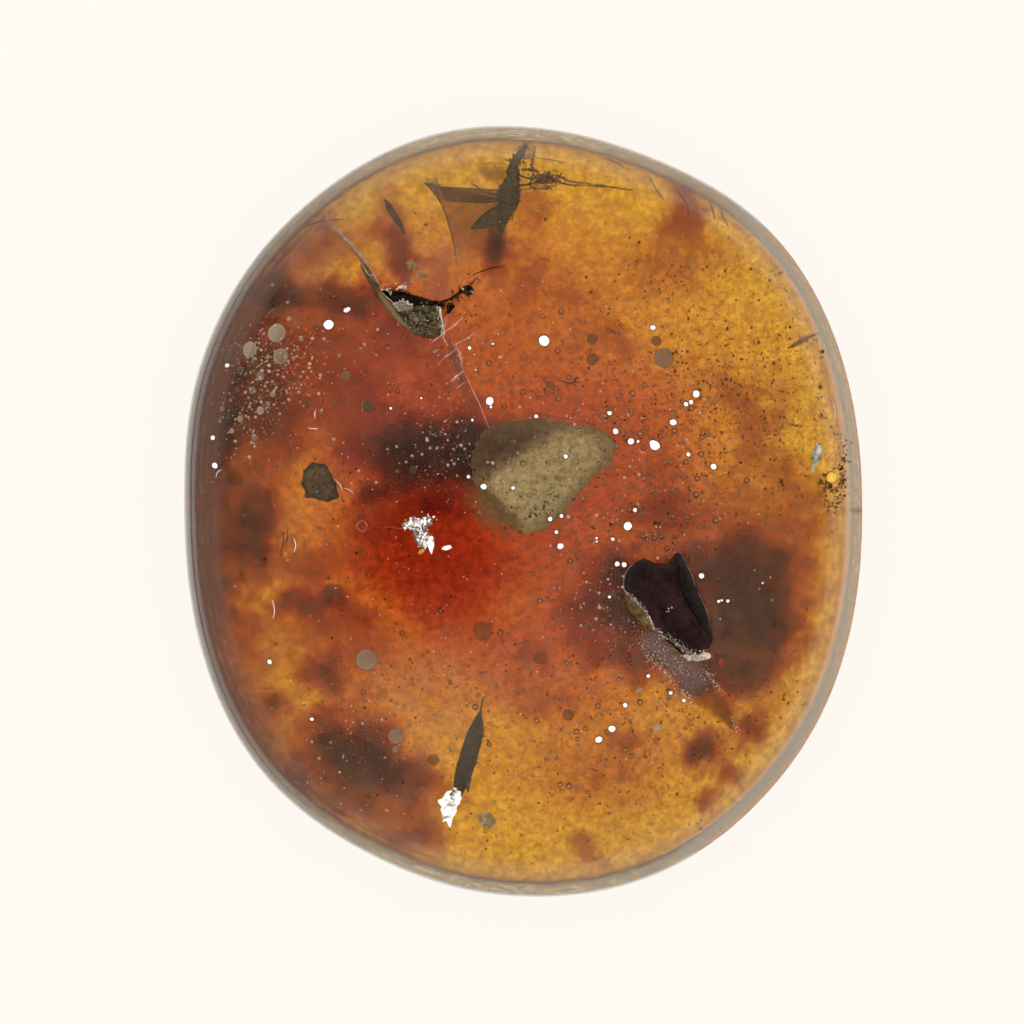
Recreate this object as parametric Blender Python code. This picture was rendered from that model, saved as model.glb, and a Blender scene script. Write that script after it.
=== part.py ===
"""A polished oval of amber with an insect and scraps of plants sealed in it.

The stone lies on its flat underside. Its origin is the middle of the underside, +Y is its long axis and +Z is
up. The amber is parted in two along the flow layer that holds the inclusions, and each inclusion lies in a
pocket that opens on that layer. Lengths are in millimetres and are multiplied by MM where a mesh is made.
"""

import math

import bmesh
import bpy
from mathutils import Vector

MM = 0.001
WELD = 0.000001
GAP = 0.3

# The stone's rim: an oval a little squarer than an ellipse
HALF_WIDTH = 16.7
HALF_LENGTH = 19.1
OVAL_POWER = 2.2
# Where the rim is ground flatter (or, below zero, left fuller): angle in degrees, depth, spread in degrees
RIM_CHANGES = (
    (70, 0.6, 18),
    (122, 0.25, 16),
    (160, -0.15, 14),
    (246, 0.5, 18),
    (308, 0.15, 14),
)

# The stone's section, from the rim up over the dome and down to the flat underside
RIM_HEIGHT = 4.5
DOME_RISE = 8.0
DOME_POWER = 2.7
UNDERSIDE_SHARE = 0.62

# The flank ground steeply along the right of the rim, with a crease where it meets the dome
FLANK_WIDTH = 0.9
FLANK_MIDDLE = -6
FLANK_HALF_SPAN = 66
FLANK_FADE = 14

# The flow layer, a shallow dome, as a height at the middle and a fall at the rim
LAYER_HEIGHT = 11.0
LAYER_FALL = 4.0
LAYER_REACH = 1.2
CUTTER_BOTTOM = -2.0
CUTTER_BOTTOM_RINGS = 3

# Mesh fineness
STONE_SEGMENTS = 56
DOME_RINGS = 14
CREASE_RING = 11
UNDERSIDE_RINGS = 12
LAYER_SEGMENTS = 36
LAYER_RINGS = 10

# The insect, as (x, y, height over the layer, radius) along each limb
HEAD = (-0.35, 16.55, 0.0, 0.38)
THORAX = (-0.6, 15.5, 0.0, 0.55)
THORAX_LENGTH = 1.0
ABDOMEN = (
    (-0.7, 15.0, 0.0, 0.4),
    (-0.95, 14.5, 0.0, 0.46),
    (-1.15, 13.95, 0.0, 0.34),
    (-1.3, 13.45, 0.0, 0.1),
)
SNOUT = ((-0.35, 16.4, 0.0, 0.3), (-0.1, 16.95, 0.0, 0.22), (0.05, 17.35, 0.0, 0.12))
FEELER = ((0.0, 17.25, 0.0, 0.09), (0.25, 17.4, 0.0, 0.09), (0.45, 17.25, 0.0, 0.08), (0.5, 16.35, 0.0, 0.07))
LEFT_LEG = ((-0.8, 15.5, 0.05, 0.12), (-1.6, 15.55, 0.1, 0.1), (-2.55, 15.85, 0.1, 0.07))
RIGHT_LEG = ((-0.3, 15.9, 0.0, 0.14), (0.5, 15.95, 0.0, 0.2), (1.1, 15.95, 0.0, 0.42), (1.8, 16.0, 0.0, 0.14))
RIGHT_FOOT = ((1.7, 16.0, 0.0, 0.1), (2.9, 15.9, 0.0, 0.07), (4.2, 15.75, 0.0, 0.07), (5.2, 15.45, 0.0, 0.06))
POINTED_WING = (
    (-0.85, 14.75, 0.0, 0.12),
    (-1.25, 14.45, 0.0, 0.3),
    (-1.85, 14.0, 0.0, 0.2),
    (-2.4, 13.72, 0.0, 0.04),
)
POINTED_WING_FLATNESS = 0.5
LONG_WING = ((-0.9, 15.6), (-2.4, 15.58), (-3.95, 15.5), (-4.05, 14.95), (-2.4, 14.9), (-0.9, 14.95))
SHORT_WING = ((-0.6, 16.1), (-1.0, 16.75), (-2.3, 16.8), (-2.35, 15.95), (-1.2, 15.7), (-0.6, 15.6))
WING_THICKNESS = 0.16

# Plant scraps, as (x, y, height over the layer, radius)
LEAF_SLIVER = (
    (-2.0, -9.6, 0.0, 0.04),
    (-2.2, -10.3, 0.0, 0.24),
    (-2.5, -11.2, 0.0, 0.46),
    (-2.8, -12.3, 0.0, 0.5),
    (-3.05, -13.3, 0.0, 0.34),
    (-3.2, -13.9, 0.0, 0.14),
)
PLANT_SLIVER = (
    (-6.75, 15.1, 0.0, 0.05),
    (-6.5, 14.55, 0.0, 0.18),
    (-6.2, 13.8, 0.0, 0.2),
    (-5.95, 13.1, 0.0, 0.06),
)
SLIVER_FLATNESS = 0.5

# Flakes, as outlines on the layer
BARK_FLAKE = (
    (-1.9, 4.2),
    (0.8, 4.55),
    (3.0, 4.1),
    (4.35, 3.6),
    (4.6, 3.0),
    (4.35, 2.5),
    (3.3, 1.75),
    (2.55, 0.75),
    (1.05, -0.95),
    (-0.2, -1.1),
    (-1.15, -0.2),
    (-2.6, 1.0),
    (-2.4, 3.0),
)
BARK_THICKNESS = 0.8
DARK_CHIP = (
    (-10.65, 2.3),
    (-9.8, 2.3),
    (-9.35, 1.95),
    (-9.05, 0.85),
    (-9.15, 0.5),
    (-9.9, 0.4),
    (-10.65, 0.65),
    (-10.85, 1.3),
    (-10.7, 1.85),
)
CHIP_THICKNESS = 0.7
PALE_FLAKE = (
    (-5.85, -0.7),
    (-5.35, -0.35),
    (-4.7, -0.3),
    (-4.4, -0.6),
    (-4.75, -0.95),
    (-4.7, -1.3),
    (-4.35, -1.25),
    (-4.35, -1.85),
    (-4.5, -2.3),
    (-5.0, -2.35),
    (-5.35, -1.85),
    (-5.5, -1.05),
)
FLAKE_THICKNESS = 0.3
FLAKE_EDGE = 0.08

# The notch and the crust in it, and the pit, as outlines on the dome
NOTCH = (
    (-8.05, 11.85),
    (-7.3, 11.2),
    (-6.3, 10.95),
    (-5.0, 10.7),
    (-3.7, 10.4),
    (-3.3, 9.9),
    (-3.5, 8.4),
    (-4.3, 7.95),
    (-5.95, 8.35),
    (-6.75, 9.0),
    (-7.5, 9.85),
    (-8.1, 11.1),
)
NOTCH_DEPTH = 1.3
CRUST = (
    (-7.75, 11.2),
    (-6.95, 10.55),
    (-6.2, 10.1),
    (-5.45, 9.95),
    (-4.15, 9.9),
    (-3.9, 8.65),
    (-4.55, 8.4),
    (-5.8, 8.75),
    (-6.3, 9.35),
    (-7.05, 10.1),
)
CRUST_THICKNESS = 0.8
CRUST_DEPTH = 0.15
PIT_MIDDLE = (7.1, -5.1)
PIT_HALF_SIZE = (2.7, 1.5, 1.25)
PIT_ANGLE = -59

# Pockets, as (x, y, height over the layer, radius) along their middle lines; each fits its piece with a gap
INSECT_POCKETS = (
    (
        (-1.75, 12.9, 0.0, 0.5),
        (-1.1, 14.0, 0.0, 1.0),
        (-0.6, 15.5, 0.0, 1.15),
        (-0.1, 17.0, 0.0, 1.05),
        (0.2, 17.75, 0.0, 0.5),
    ),
    ((-4.7, 15.2, 0.0, 0.7), (-3.3, 15.3, 0.0, 0.95), (-0.9, 15.9, 0.0, 1.4)),
    ((-0.8, 14.9, 0.0, 0.95), (-1.9, 14.1, 0.0, 0.8), (-2.9, 13.5, 0.0, 0.4)),
    ((-0.4, 15.9, 0.0, 0.85), (1.1, 15.95, 0.0, 0.95), (3.0, 15.85, 0.0, 0.55), (5.7, 15.3, 0.0, 0.5)),
)
POCKET_FLATNESS = 0.85
# A pocket stands this many gaps away from its sliver or flake, so that its slanting sides keep the gap too
POCKET_WIDENING = 1.5


def swell(value, low, high):
    """Zero below low, one above high, with a smooth step between them."""
    share = max(0.0, min(1.0, (value - low) / (high - low)))
    return share * share * (3 - 2 * share)


def angle_between(degrees, other):
    """The difference of two directions, from -180 to 180 degrees."""
    return (degrees - other + 180) % 360 - 180


def rim_radius(turn):
    """The rim's distance from the middle: an oval, less what was ground away on its flatter stretches."""
    across = abs(math.cos(turn)) / HALF_WIDTH
    along = abs(math.sin(turn)) / HALF_LENGTH
    radius = (across ** OVAL_POWER + along ** OVAL_POWER) ** (-1 / OVAL_POWER)
    for middle, depth, spread in RIM_CHANGES:
        radius -= depth * math.exp(-((angle_between(math.degrees(turn), middle) / spread) ** 2))
    return radius


def share_at(x, y):
    """How far out a point lies: 0 in the middle, 1 on the rim."""
    return math.hypot(x, y) / rim_radius(math.atan2(y, x))


def dome_height(share):
    """The height of the stone's top."""
    return RIM_HEIGHT + DOME_RISE * max(0.0, 1 - share ** DOME_POWER) ** (1 / DOME_POWER)


def layer_height(share):
    """The height of the flow layer."""
    return LAYER_HEIGHT - LAYER_FALL * share ** 2


def crease_share(turn):
    """How far out the crease lies, where the dome meets the ground flank."""
    return 1 - FLANK_WIDTH / rim_radius(turn)


def flank_weight(turn):
    """One where the flank is ground flat, zero where the dome runs on to the rim."""
    away = abs(angle_between(math.degrees(turn), FLANK_MIDDLE))
    return 1 - swell(away, FLANK_HALF_SPAN - FLANK_FADE, FLANK_HALF_SPAN)


def dome_point(ring, turn):
    """A point of the stone's top, on a ring counted from the middle out."""
    crease = crease_share(turn)
    crease_polar = math.asin(crease ** (DOME_POWER / 2))
    if ring <= CREASE_RING:
        polar = crease_polar * ring / CREASE_RING
    else:
        outward = (ring - CREASE_RING) / (DOME_RINGS - CREASE_RING)
        polar = crease_polar + (math.pi / 2 - crease_polar) * outward
    share = math.sin(polar) ** (2 / DOME_POWER)
    height = dome_height(share)
    if share > crease:
        step = (share - crease) / (1 - crease)
        straight = dome_height(crease) + (RIM_HEIGHT - dome_height(crease)) * step
        height += flank_weight(turn) * (straight - height)
    return share, height


def underside_point(ring):
    """A point of the underside, on a ring counted from the middle out: a flat, then a quarter round."""
    if ring == 0:
        return 0.0, 0.0
    polar = math.pi / 2 * (ring - 1) / (UNDERSIDE_RINGS - 1)
    share = UNDERSIDE_SHARE + (1 - UNDERSIDE_SHARE) * math.sin(polar)
    return share, RIM_HEIGHT * (1 - math.cos(polar))


def shaped_ball(name, segments, top_rings, bottom_rings, top_point, bottom_point):
    """A ball primitive whose rings are moved to (share, height) in the stone's outline."""
    work = bmesh.new()
    bmesh.ops.create_uvsphere(work, u_segments=segments, v_segments=top_rings + bottom_rings, radius=1.0)
    ring_angle = math.pi / (top_rings + bottom_rings)
    for vert in work.verts:
        turn = math.atan2(vert.co.y, vert.co.x)
        ring = round(math.acos(max(-1.0, min(1.0, vert.co.z))) / ring_angle)
        if ring <= top_rings:
            share, height = top_point(ring, turn)
        else:
            share, height = bottom_point(top_rings + bottom_rings - ring, turn)
        radius = share * rim_radius(turn)
        vert.co = Vector((radius * math.cos(turn), radius * math.sin(turn), height)) * MM
    mesh = bpy.data.meshes.new(name)
    work.to_mesh(mesh)
    work.free()
    return mesh


def stone_mesh(name):
    """The whole stone."""

    def bottom(ring, turn):
        return underside_point(ring)

    return shaped_ball(name, STONE_SEGMENTS, DOME_RINGS, UNDERSIDE_RINGS, dome_point, bottom)


def below_layer_mesh(name, lift):
    """All that lies below the flow layer, lifted a little, out to past the rim."""

    def top(ring, turn):
        share = LAYER_REACH * ring / LAYER_RINGS
        return share, layer_height(share) + lift

    def bottom(ring, turn):
        return LAYER_REACH * ring / CUTTER_BOTTOM_RINGS, CUTTER_BOTTOM

    return shaped_ball(name, LAYER_SEGMENTS, LAYER_RINGS, CUTTER_BOTTOM_RINGS, top, bottom)


def welded(mesh):
    """The same mesh with the loose ends of a curve's caps joined to its sides."""
    work = bmesh.new()
    work.from_mesh(mesh)
    bmesh.ops.remove_doubles(work, verts=work.verts, dist=WELD)
    bmesh.ops.recalc_face_normals(work, faces=work.faces)
    work.to_mesh(mesh)
    work.free()
    return mesh


def evaluated_mesh(obj):
    """A mesh of the object as its modifiers and curve settings make it."""
    depsgraph = bpy.context.evaluated_depsgraph_get()
    return bpy.data.meshes.new_from_object(obj.evaluated_get(depsgraph))


def curve_mesh(curve):
    """The mesh of a curve, closed."""
    holder = bpy.data.objects.new(curve.name, curve)
    bpy.context.scene.collection.objects.link(holder)
    mesh = welded(evaluated_mesh(holder))
    bpy.data.objects.remove(holder)
    bpy.data.curves.remove(curve)
    return mesh


def limb_mesh(name, points, flatness=1.0, smooth_steps=1):
    """A tapered round tube along points of (x, y, height, radius), squeezed to its flatness."""
    curve = bpy.data.curves.new(name, "CURVE")
    curve.dimensions = "3D"
    curve.bevel_depth = MM
    curve.bevel_resolution = 2
    curve.resolution_u = smooth_steps
    curve.use_fill_caps = True
    spline = curve.splines.new("POLY" if smooth_steps == 1 else "NURBS")
    spline.points.add(len(points) - 1)
    for point, (x, y, height, radius) in zip(spline.points, points):
        point.co = (x * MM, y * MM, height * MM, 1.0)
        point.radius = radius
    spline.use_endpoint_u = True
    spline.order_u = 3
    mesh = curve_mesh(curve)
    for vert in mesh.vertices:
        vert.co.z *= flatness
    return mesh


def plate_mesh(name, outline, thickness, edge=0.0):
    """A flat plate of the outline, centred on height 0, with its edges broken by a small chamfer."""
    curve = bpy.data.curves.new(name, "CURVE")
    curve.dimensions = "2D"
    curve.fill_mode = "BOTH"
    curve.extrude = (thickness / 2 - edge) * MM
    curve.bevel_depth = edge * MM
    curve.bevel_resolution = 0
    curve.offset = -edge * MM
    spline = curve.splines.new("POLY")
    spline.points.add(len(outline) - 1)
    for point, (x, y) in zip(spline.points, outline):
        point.co = (x * MM, y * MM, 0.0, 1.0)
    spline.use_cyclic_u = True
    return curve_mesh(curve)


def egg_mesh(name, middle, half_size, degrees=0.0, segments=16, rings=8):
    """A ball stretched to three half sizes, turned about Z."""
    work = bmesh.new()
    bmesh.ops.create_uvsphere(work, u_segments=segments, v_segments=rings, radius=MM)
    turn = math.radians(degrees)
    for vert in work.verts:
        x, y, z = (part * size for part, size in zip(vert.co, half_size))
        vert.co.x = middle[0] * MM + x * math.cos(turn) - y * math.sin(turn)
        vert.co.y = middle[1] * MM + x * math.sin(turn) + y * math.cos(turn)
        vert.co.z = middle[2] * MM + z
    mesh = bpy.data.meshes.new(name)
    work.to_mesh(mesh)
    work.free()
    return mesh


def fused(name, meshes):
    """One closed mesh, the Boolean union of several."""
    scene_objects = bpy.context.scene.collection.objects
    holders = []
    for mesh in meshes:
        holder = bpy.data.objects.new(mesh.name, mesh)
        scene_objects.link(holder)
        holders.append(holder)
    for other in holders[1:]:
        join = holders[0].modifiers.new(other.name, "BOOLEAN")
        join.operation = "UNION"
        join.solver = "EXACT"
        join.object = other
    whole = welded(evaluated_mesh(holders[0]))
    whole.name = name
    for holder in holders:
        bpy.data.objects.remove(holder)
    return whole


def laid_on(mesh, height_of):
    """The mesh, lifted at each point by a surface's height there."""
    for vert in mesh.vertices:
        vert.co.z += height_of(share_at(vert.co.x / MM, vert.co.y / MM)) * MM
    return mesh


def material(name, colour, roughness, alpha=1.0):
    """A plain Principled material."""
    made = bpy.data.materials.new(name)
    made.use_nodes = True
    shader = made.node_tree.nodes["Principled BSDF"]
    shader.inputs["Base Color"].default_value = (*colour, 1.0)
    shader.inputs["Roughness"].default_value = roughness
    shader.inputs["Metallic"].default_value = 0.0
    shader.inputs["Alpha"].default_value = alpha
    return made


def placed(name, mesh, collection, finish=None):
    """A new object of the mesh in the collection."""
    obj = bpy.data.objects.new(name, mesh)
    collection.objects.link(obj)
    if finish:
        mesh.materials.append(finish)
    return obj


def cutter(name, mesh, collection):
    """A guide object that only cuts others."""
    obj = placed(name, mesh, collection)
    obj.hide_render = True
    obj.display_type = "WIRE"
    return obj


def cut(obj, other, operation="DIFFERENCE"):
    """Adds a Boolean of the other object."""
    step = obj.modifiers.new(other.name, "BOOLEAN")
    step.operation = operation
    step.solver = "EXACT"
    step.object = other


def insect_mesh():
    """The fly: head, thorax, abdomen, wings, legs and feeler grown together."""
    x, y, height, radius = THORAX
    thorax = egg_mesh("thorax", (x, y, height), (radius, THORAX_LENGTH, radius), 4)
    x, y, height, radius = HEAD
    head = egg_mesh("head", (x, y, height), (radius, radius, radius), 0, 12, 8)
    pieces = [
        thorax,
        head,
        limb_mesh("abdomen", ABDOMEN),
        limb_mesh("snout", SNOUT),
        limb_mesh("feeler", FEELER),
        limb_mesh("left_leg", LEFT_LEG),
        limb_mesh("right_leg", RIGHT_LEG),
        limb_mesh("right_foot", RIGHT_FOOT),
        limb_mesh("pointed_wing", POINTED_WING, POINTED_WING_FLATNESS),
        plate_mesh("long_wing", LONG_WING, WING_THICKNESS),
        plate_mesh("short_wing", SHORT_WING, WING_THICKNESS),
    ]
    return fused("insect", pieces)


def outline_middle(outline):
    """The mean point and the half spans of an outline."""
    xs = [x for x, y in outline]
    ys = [y for x, y in outline]
    middle = ((min(xs) + max(xs)) / 2, (min(ys) + max(ys)) / 2)
    return middle, ((max(xs) - min(xs)) / 2, (max(ys) - min(ys)) / 2)


def grown(outline, gap):
    """The outline moved out from its middle by the gap on every side."""
    (middle_x, middle_y), (half_x, half_y) = outline_middle(outline)
    wide = 1 + POCKET_WIDENING * gap / half_x
    long = 1 + POCKET_WIDENING * gap / half_y
    return [(middle_x + (x - middle_x) * wide, middle_y + (y - middle_y) * long) for x, y in outline]


def pocket_cutters(collection):
    """The pockets that hold the inclusions, all laid on the flow layer."""
    meshes = [
        limb_mesh(f"insect_pocket_{number}", points, POCKET_FLATNESS)
        for number, points in enumerate(INSECT_POCKETS, 1)
    ]
    shapes = [fused("insect_pocket", meshes)]
    for name, points in (("leaf_pocket", LEAF_SLIVER), ("plant_pocket", PLANT_SLIVER)):
        first, last = Vector(points[0][:2]), Vector(points[-1][:2])
        stretch = (last - first).normalized() * GAP
        wider = [(x, y, height, radius + POCKET_WIDENING * GAP) for x, y, height, radius in points]
        wider[0] = (*(first - stretch), 0.0, GAP)
        wider[-1] = (*(last + stretch), 0.0, POCKET_WIDENING * GAP)
        shapes.append(limb_mesh(name, wider, POCKET_FLATNESS))
    for name, outline, thickness in (
        ("bark_pocket", BARK_FLAKE, BARK_THICKNESS),
        ("chip_pocket", DARK_CHIP, CHIP_THICKNESS),
        ("pale_pocket", PALE_FLAKE, FLAKE_THICKNESS),
    ):
        shapes.append(plate_mesh(name, grown(outline, GAP), thickness + 2 * GAP))
    return [cutter(mesh.name, laid_on(mesh, layer_height), collection) for mesh in shapes]


def build():
    """Makes the whole piece."""
    for old in list(bpy.data.objects):
        bpy.data.objects.remove(old)
    scene = bpy.context.scene
    pieces = bpy.data.collections.new("insect_in_amber")
    cutters = bpy.data.collections.new("cutters")
    scene.collection.children.link(pieces)
    scene.collection.children.link(cutters)

    below = cutter("below_layer", below_layer_mesh("below_layer", -GAP / 2), cutters)
    above = cutter("not_above_layer", below_layer_mesh("not_above_layer", GAP / 2), cutters)
    pockets = pocket_cutters(cutters)

    notch_mesh = plate_mesh("notch", NOTCH, 2 * NOTCH_DEPTH)
    notch = cutter("notch", laid_on(notch_mesh, dome_height), cutters)
    pit_mesh = egg_mesh("pit", (*PIT_MIDDLE, 0.0), PIT_HALF_SIZE, PIT_ANGLE, 20, 10)
    pit = cutter("pit", laid_on(pit_mesh, dome_height), cutters)

    amber = material("amber", (0.56, 0.16, 0.02), 0.1, 0.35)
    lower = placed("amber_lower", stone_mesh("amber_lower"), pieces, amber)
    cut(lower, below, "INTERSECT")
    upper = placed("amber_upper", stone_mesh("amber_upper"), pieces, amber.copy())
    cut(upper, above)
    for pocket in pockets:
        cut(lower, pocket)
        cut(upper, pocket)
    cut(upper, notch)
    cut(upper, pit)

    chitin = material("insect_chitin", (0.03, 0.028, 0.018), 0.5)
    placed("insect", laid_on(insect_mesh(), layer_height), pieces, chitin)

    leaf = limb_mesh("leaf_sliver", LEAF_SLIVER, SLIVER_FLATNESS)
    placed("leaf_sliver", laid_on(leaf, layer_height), pieces, material("leaf", (0.035, 0.03, 0.014), 0.7))
    plant = limb_mesh("plant_sliver", PLANT_SLIVER, SLIVER_FLATNESS)
    placed("plant_sliver", laid_on(plant, layer_height), pieces, material("plant", (0.05, 0.035, 0.02), 0.7))

    bark = plate_mesh("bark_flake", BARK_FLAKE, BARK_THICKNESS, FLAKE_EDGE)
    placed("bark_flake", laid_on(bark, layer_height), pieces, material("bark", (0.36, 0.3, 0.15), 0.8))
    chip = plate_mesh("dark_chip", DARK_CHIP, CHIP_THICKNESS, FLAKE_EDGE)
    placed("dark_chip", laid_on(chip, layer_height), pieces, material("chip", (0.04, 0.025, 0.017), 0.7))
    pale = plate_mesh("pale_flake", PALE_FLAKE, FLAKE_THICKNESS, FLAKE_EDGE)
    placed("pale_flake", laid_on(pale, layer_height), pieces, material("pale", (0.75, 0.72, 0.68), 0.3))

    crust = plate_mesh("crevice_fill", CRUST, CRUST_THICKNESS, FLAKE_EDGE)
    for vert in crust.vertices:
        vert.co.z -= (CRUST_DEPTH + CRUST_THICKNESS / 2) * MM
    placed("crevice_fill", laid_on(crust, dome_height), pieces, material("crust", (0.12, 0.09, 0.04), 0.95))


build()
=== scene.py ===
"""Looks of a polished oval of amber with a fly and scraps of plants sealed in it."""

import math

import bpy
import numpy as np
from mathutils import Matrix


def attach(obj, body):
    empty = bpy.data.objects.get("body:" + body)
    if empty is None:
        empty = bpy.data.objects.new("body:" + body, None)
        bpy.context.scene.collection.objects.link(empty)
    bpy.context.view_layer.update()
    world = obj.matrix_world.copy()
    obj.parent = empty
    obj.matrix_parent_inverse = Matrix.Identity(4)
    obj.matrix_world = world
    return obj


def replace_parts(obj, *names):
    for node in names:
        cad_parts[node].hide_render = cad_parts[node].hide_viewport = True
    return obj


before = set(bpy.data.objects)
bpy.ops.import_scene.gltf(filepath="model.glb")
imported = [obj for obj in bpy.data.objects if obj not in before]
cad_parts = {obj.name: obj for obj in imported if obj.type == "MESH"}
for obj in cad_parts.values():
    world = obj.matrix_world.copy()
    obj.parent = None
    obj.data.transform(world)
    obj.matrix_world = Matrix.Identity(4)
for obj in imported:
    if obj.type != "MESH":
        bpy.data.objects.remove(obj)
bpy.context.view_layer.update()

MM = 0.001

# ---------------------------------------------------------------- the stone's form, in millimetres
HALF_WIDTH = 16.7
HALF_LENGTH = 19.1
OVAL_POWER = 2.2

# Where the oval dips inward, or bulges if below zero, as (degrees round the rim, depth, spread)
RIM_CHANGES = ((70, 0.6, 18), (122, 0.25, 16), (160, -0.15, 14), (246, 0.5, 18), (308, 0.15, 14))
RIM_HEIGHT = 4.5
DOME_RISE = 8.0
DOME_POWER = 2.7
UNDERSIDE_SHARE = 0.62
FLANK_WIDTH = 0.9
FLANK_MIDDLE = -6
FLANK_HALF_SPAN = 66
FLANK_FADE = 14
LAYER_HEIGHT = 11.0
LAYER_FALL = 4.0
AMBER_IOR = 1.54

# The notch in the dome that the crust fills, and the open pit, as outlines seen from above
NOTCH = (
    (-7.1, 10.95), (-6.4, 10.85), (-5.5, 10.7), (-4.6, 10.4), (-3.85, 10.3), (-3.75, 9.7), (-3.85, 8.6),
    (-4.4, 8.35), (-5.2, 8.45), (-6.0, 9.0), (-6.7, 9.8), (-7.15, 10.5),
)
NOTCH_DEPTH = 1.2
NOTCH_WALL = 0.25
PIT = (
    (5.35, -2.55), (5.9, -2.35), (6.5, -2.6), (7.0, -2.6), (7.45, -2.1), (7.75, -2.2), (8.05, -2.75),
    (8.3, -3.3), (8.6, -4.0), (8.9, -4.6), (9.15, -5.4), (9.25, -6.2), (9.1, -6.7), (8.7, -7.0),
    (8.0, -7.1), (7.5, -6.75), (6.9, -6.3), (6.4, -5.75), (6.2, -5.3), (5.95, -4.95), (5.6, -4.55),
    (5.1, -4.1), (4.9, -3.7), (4.95, -3.2), (5.1, -2.9),
)
PIT_DEPTH = 1.1
PIT_WALL = 1.1
SKIN_DEPTH = 0.12

# How a sealed thing's place is found along a bent ray
SLOPE_STEP = 0.02
RAY_STEPS = 12
SHORTEST_RUN = 0.2


def swell(value, low, high):
    """A smooth step: 0 below low, 1 above high."""
    share = np.clip((value - low) / (high - low), 0, 1)
    return share * share * (3 - 2 * share)


def turn_gap(degrees, other):
    """The difference of two directions, from -180 to 180 degrees."""
    return (degrees - other + 180) % 360 - 180


def turned(x, y, middle, degrees):
    """Places measured from a middle, along and across a direction."""
    a = math.radians(degrees)
    dx, dy = x - middle[0], y - middle[1]
    return dx * math.cos(a) + dy * math.sin(a), dy * math.cos(a) - dx * math.sin(a)


def rim_radius(turn):
    """An oval a little squarer than an ellipse, less a bell-shaped dip for each stretch ground flatter."""
    across = np.abs(np.cos(turn)) / HALF_WIDTH
    along = np.abs(np.sin(turn)) / HALF_LENGTH
    radius = (across**OVAL_POWER + along**OVAL_POWER) ** (-1 / OVAL_POWER)
    for middle, depth, spread in RIM_CHANGES:
        radius = radius - depth * np.exp(-((turn_gap(np.degrees(turn), middle) / spread) ** 2))
    return radius


def share_at(x, y):
    """How far out a point lies: 0 in the middle, 1 on the rim."""
    return np.hypot(x, y) / rim_radius(np.arctan2(y, x))


def dome_height(share):
    """The top's height: a superellipse of the share."""
    return RIM_HEIGHT + DOME_RISE * np.maximum(0, 1 - share**DOME_POWER) ** (1 / DOME_POWER)


def layer_height(share):
    """The flow layer's height: a shallow dome."""
    return LAYER_HEIGHT - LAYER_FALL * share**2


def flank_weight(turn):
    """1 where the rim's flank is ground flat, 0 elsewhere."""
    away = np.abs(turn_gap(np.degrees(turn), FLANK_MIDDLE))
    return 1 - swell(away, FLANK_HALF_SPAN - FLANK_FADE, FLANK_HALF_SPAN)


def dome_top(x, y):
    """The dome's height at (x, y), and past the crease a straight fall to the rim on the ground flank."""
    turn = np.arctan2(y, x)
    share = np.minimum(share_at(x, y), 1)
    crease = 1 - FLANK_WIDTH / rim_radius(turn)
    height = dome_height(share)
    step = np.clip((share - crease) / (1 - crease), 0, 1)
    straight = dome_height(crease) + (RIM_HEIGHT - dome_height(crease)) * step
    return np.where(share > crease, height + flank_weight(turn) * (straight - height), height)


def outline_distance(x, y, outline):
    """The distance from a closed outline, below zero inside it."""
    x, y = np.asarray(x, float), np.asarray(y, float)
    nearest = np.full(x.shape, np.inf)
    inside = np.zeros(x.shape, bool)
    for (ax, ay), (bx, by) in zip(outline, outline[1:] + outline[:1]):
        ex, ey = bx - ax, by - ay
        along = np.clip(((x - ax) * ex + (y - ay) * ey) / (ex * ex + ey * ey), 0, 1)
        nearest = np.minimum(nearest, np.hypot(x - ax - along * ex, y - ay - along * ey))
        crosses = (ay > y) != (by > y)
        inside ^= crosses & (x < ax + (y - ay) * ex / np.where(ey == 0, 1, ey))
    return np.where(inside, -nearest, nearest)


def pit_depth(x, y):
    """How far the pit goes down at (x, y): its walls round over to the outline."""
    return PIT_DEPTH * (1 - swell(outline_distance(x, y, PIT), -PIT_WALL, 0.02))


def notch_depth(x, y):
    """How far the notch goes down at (x, y): full depth inside its outline, with sloping walls."""
    return NOTCH_DEPTH * (1 - swell(outline_distance(x, y, NOTCH), -NOTCH_WALL, 0))


def hollow_depth(x, y):
    """How far the notch or the pit goes down at (x, y)."""
    return np.maximum(pit_depth(x, y), notch_depth(x, y))


def stone_top(x, y):
    """The amber's top, with the notch and the pit taken out of the dome."""
    return dome_top(x, y) - hollow_depth(x, y)


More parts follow.
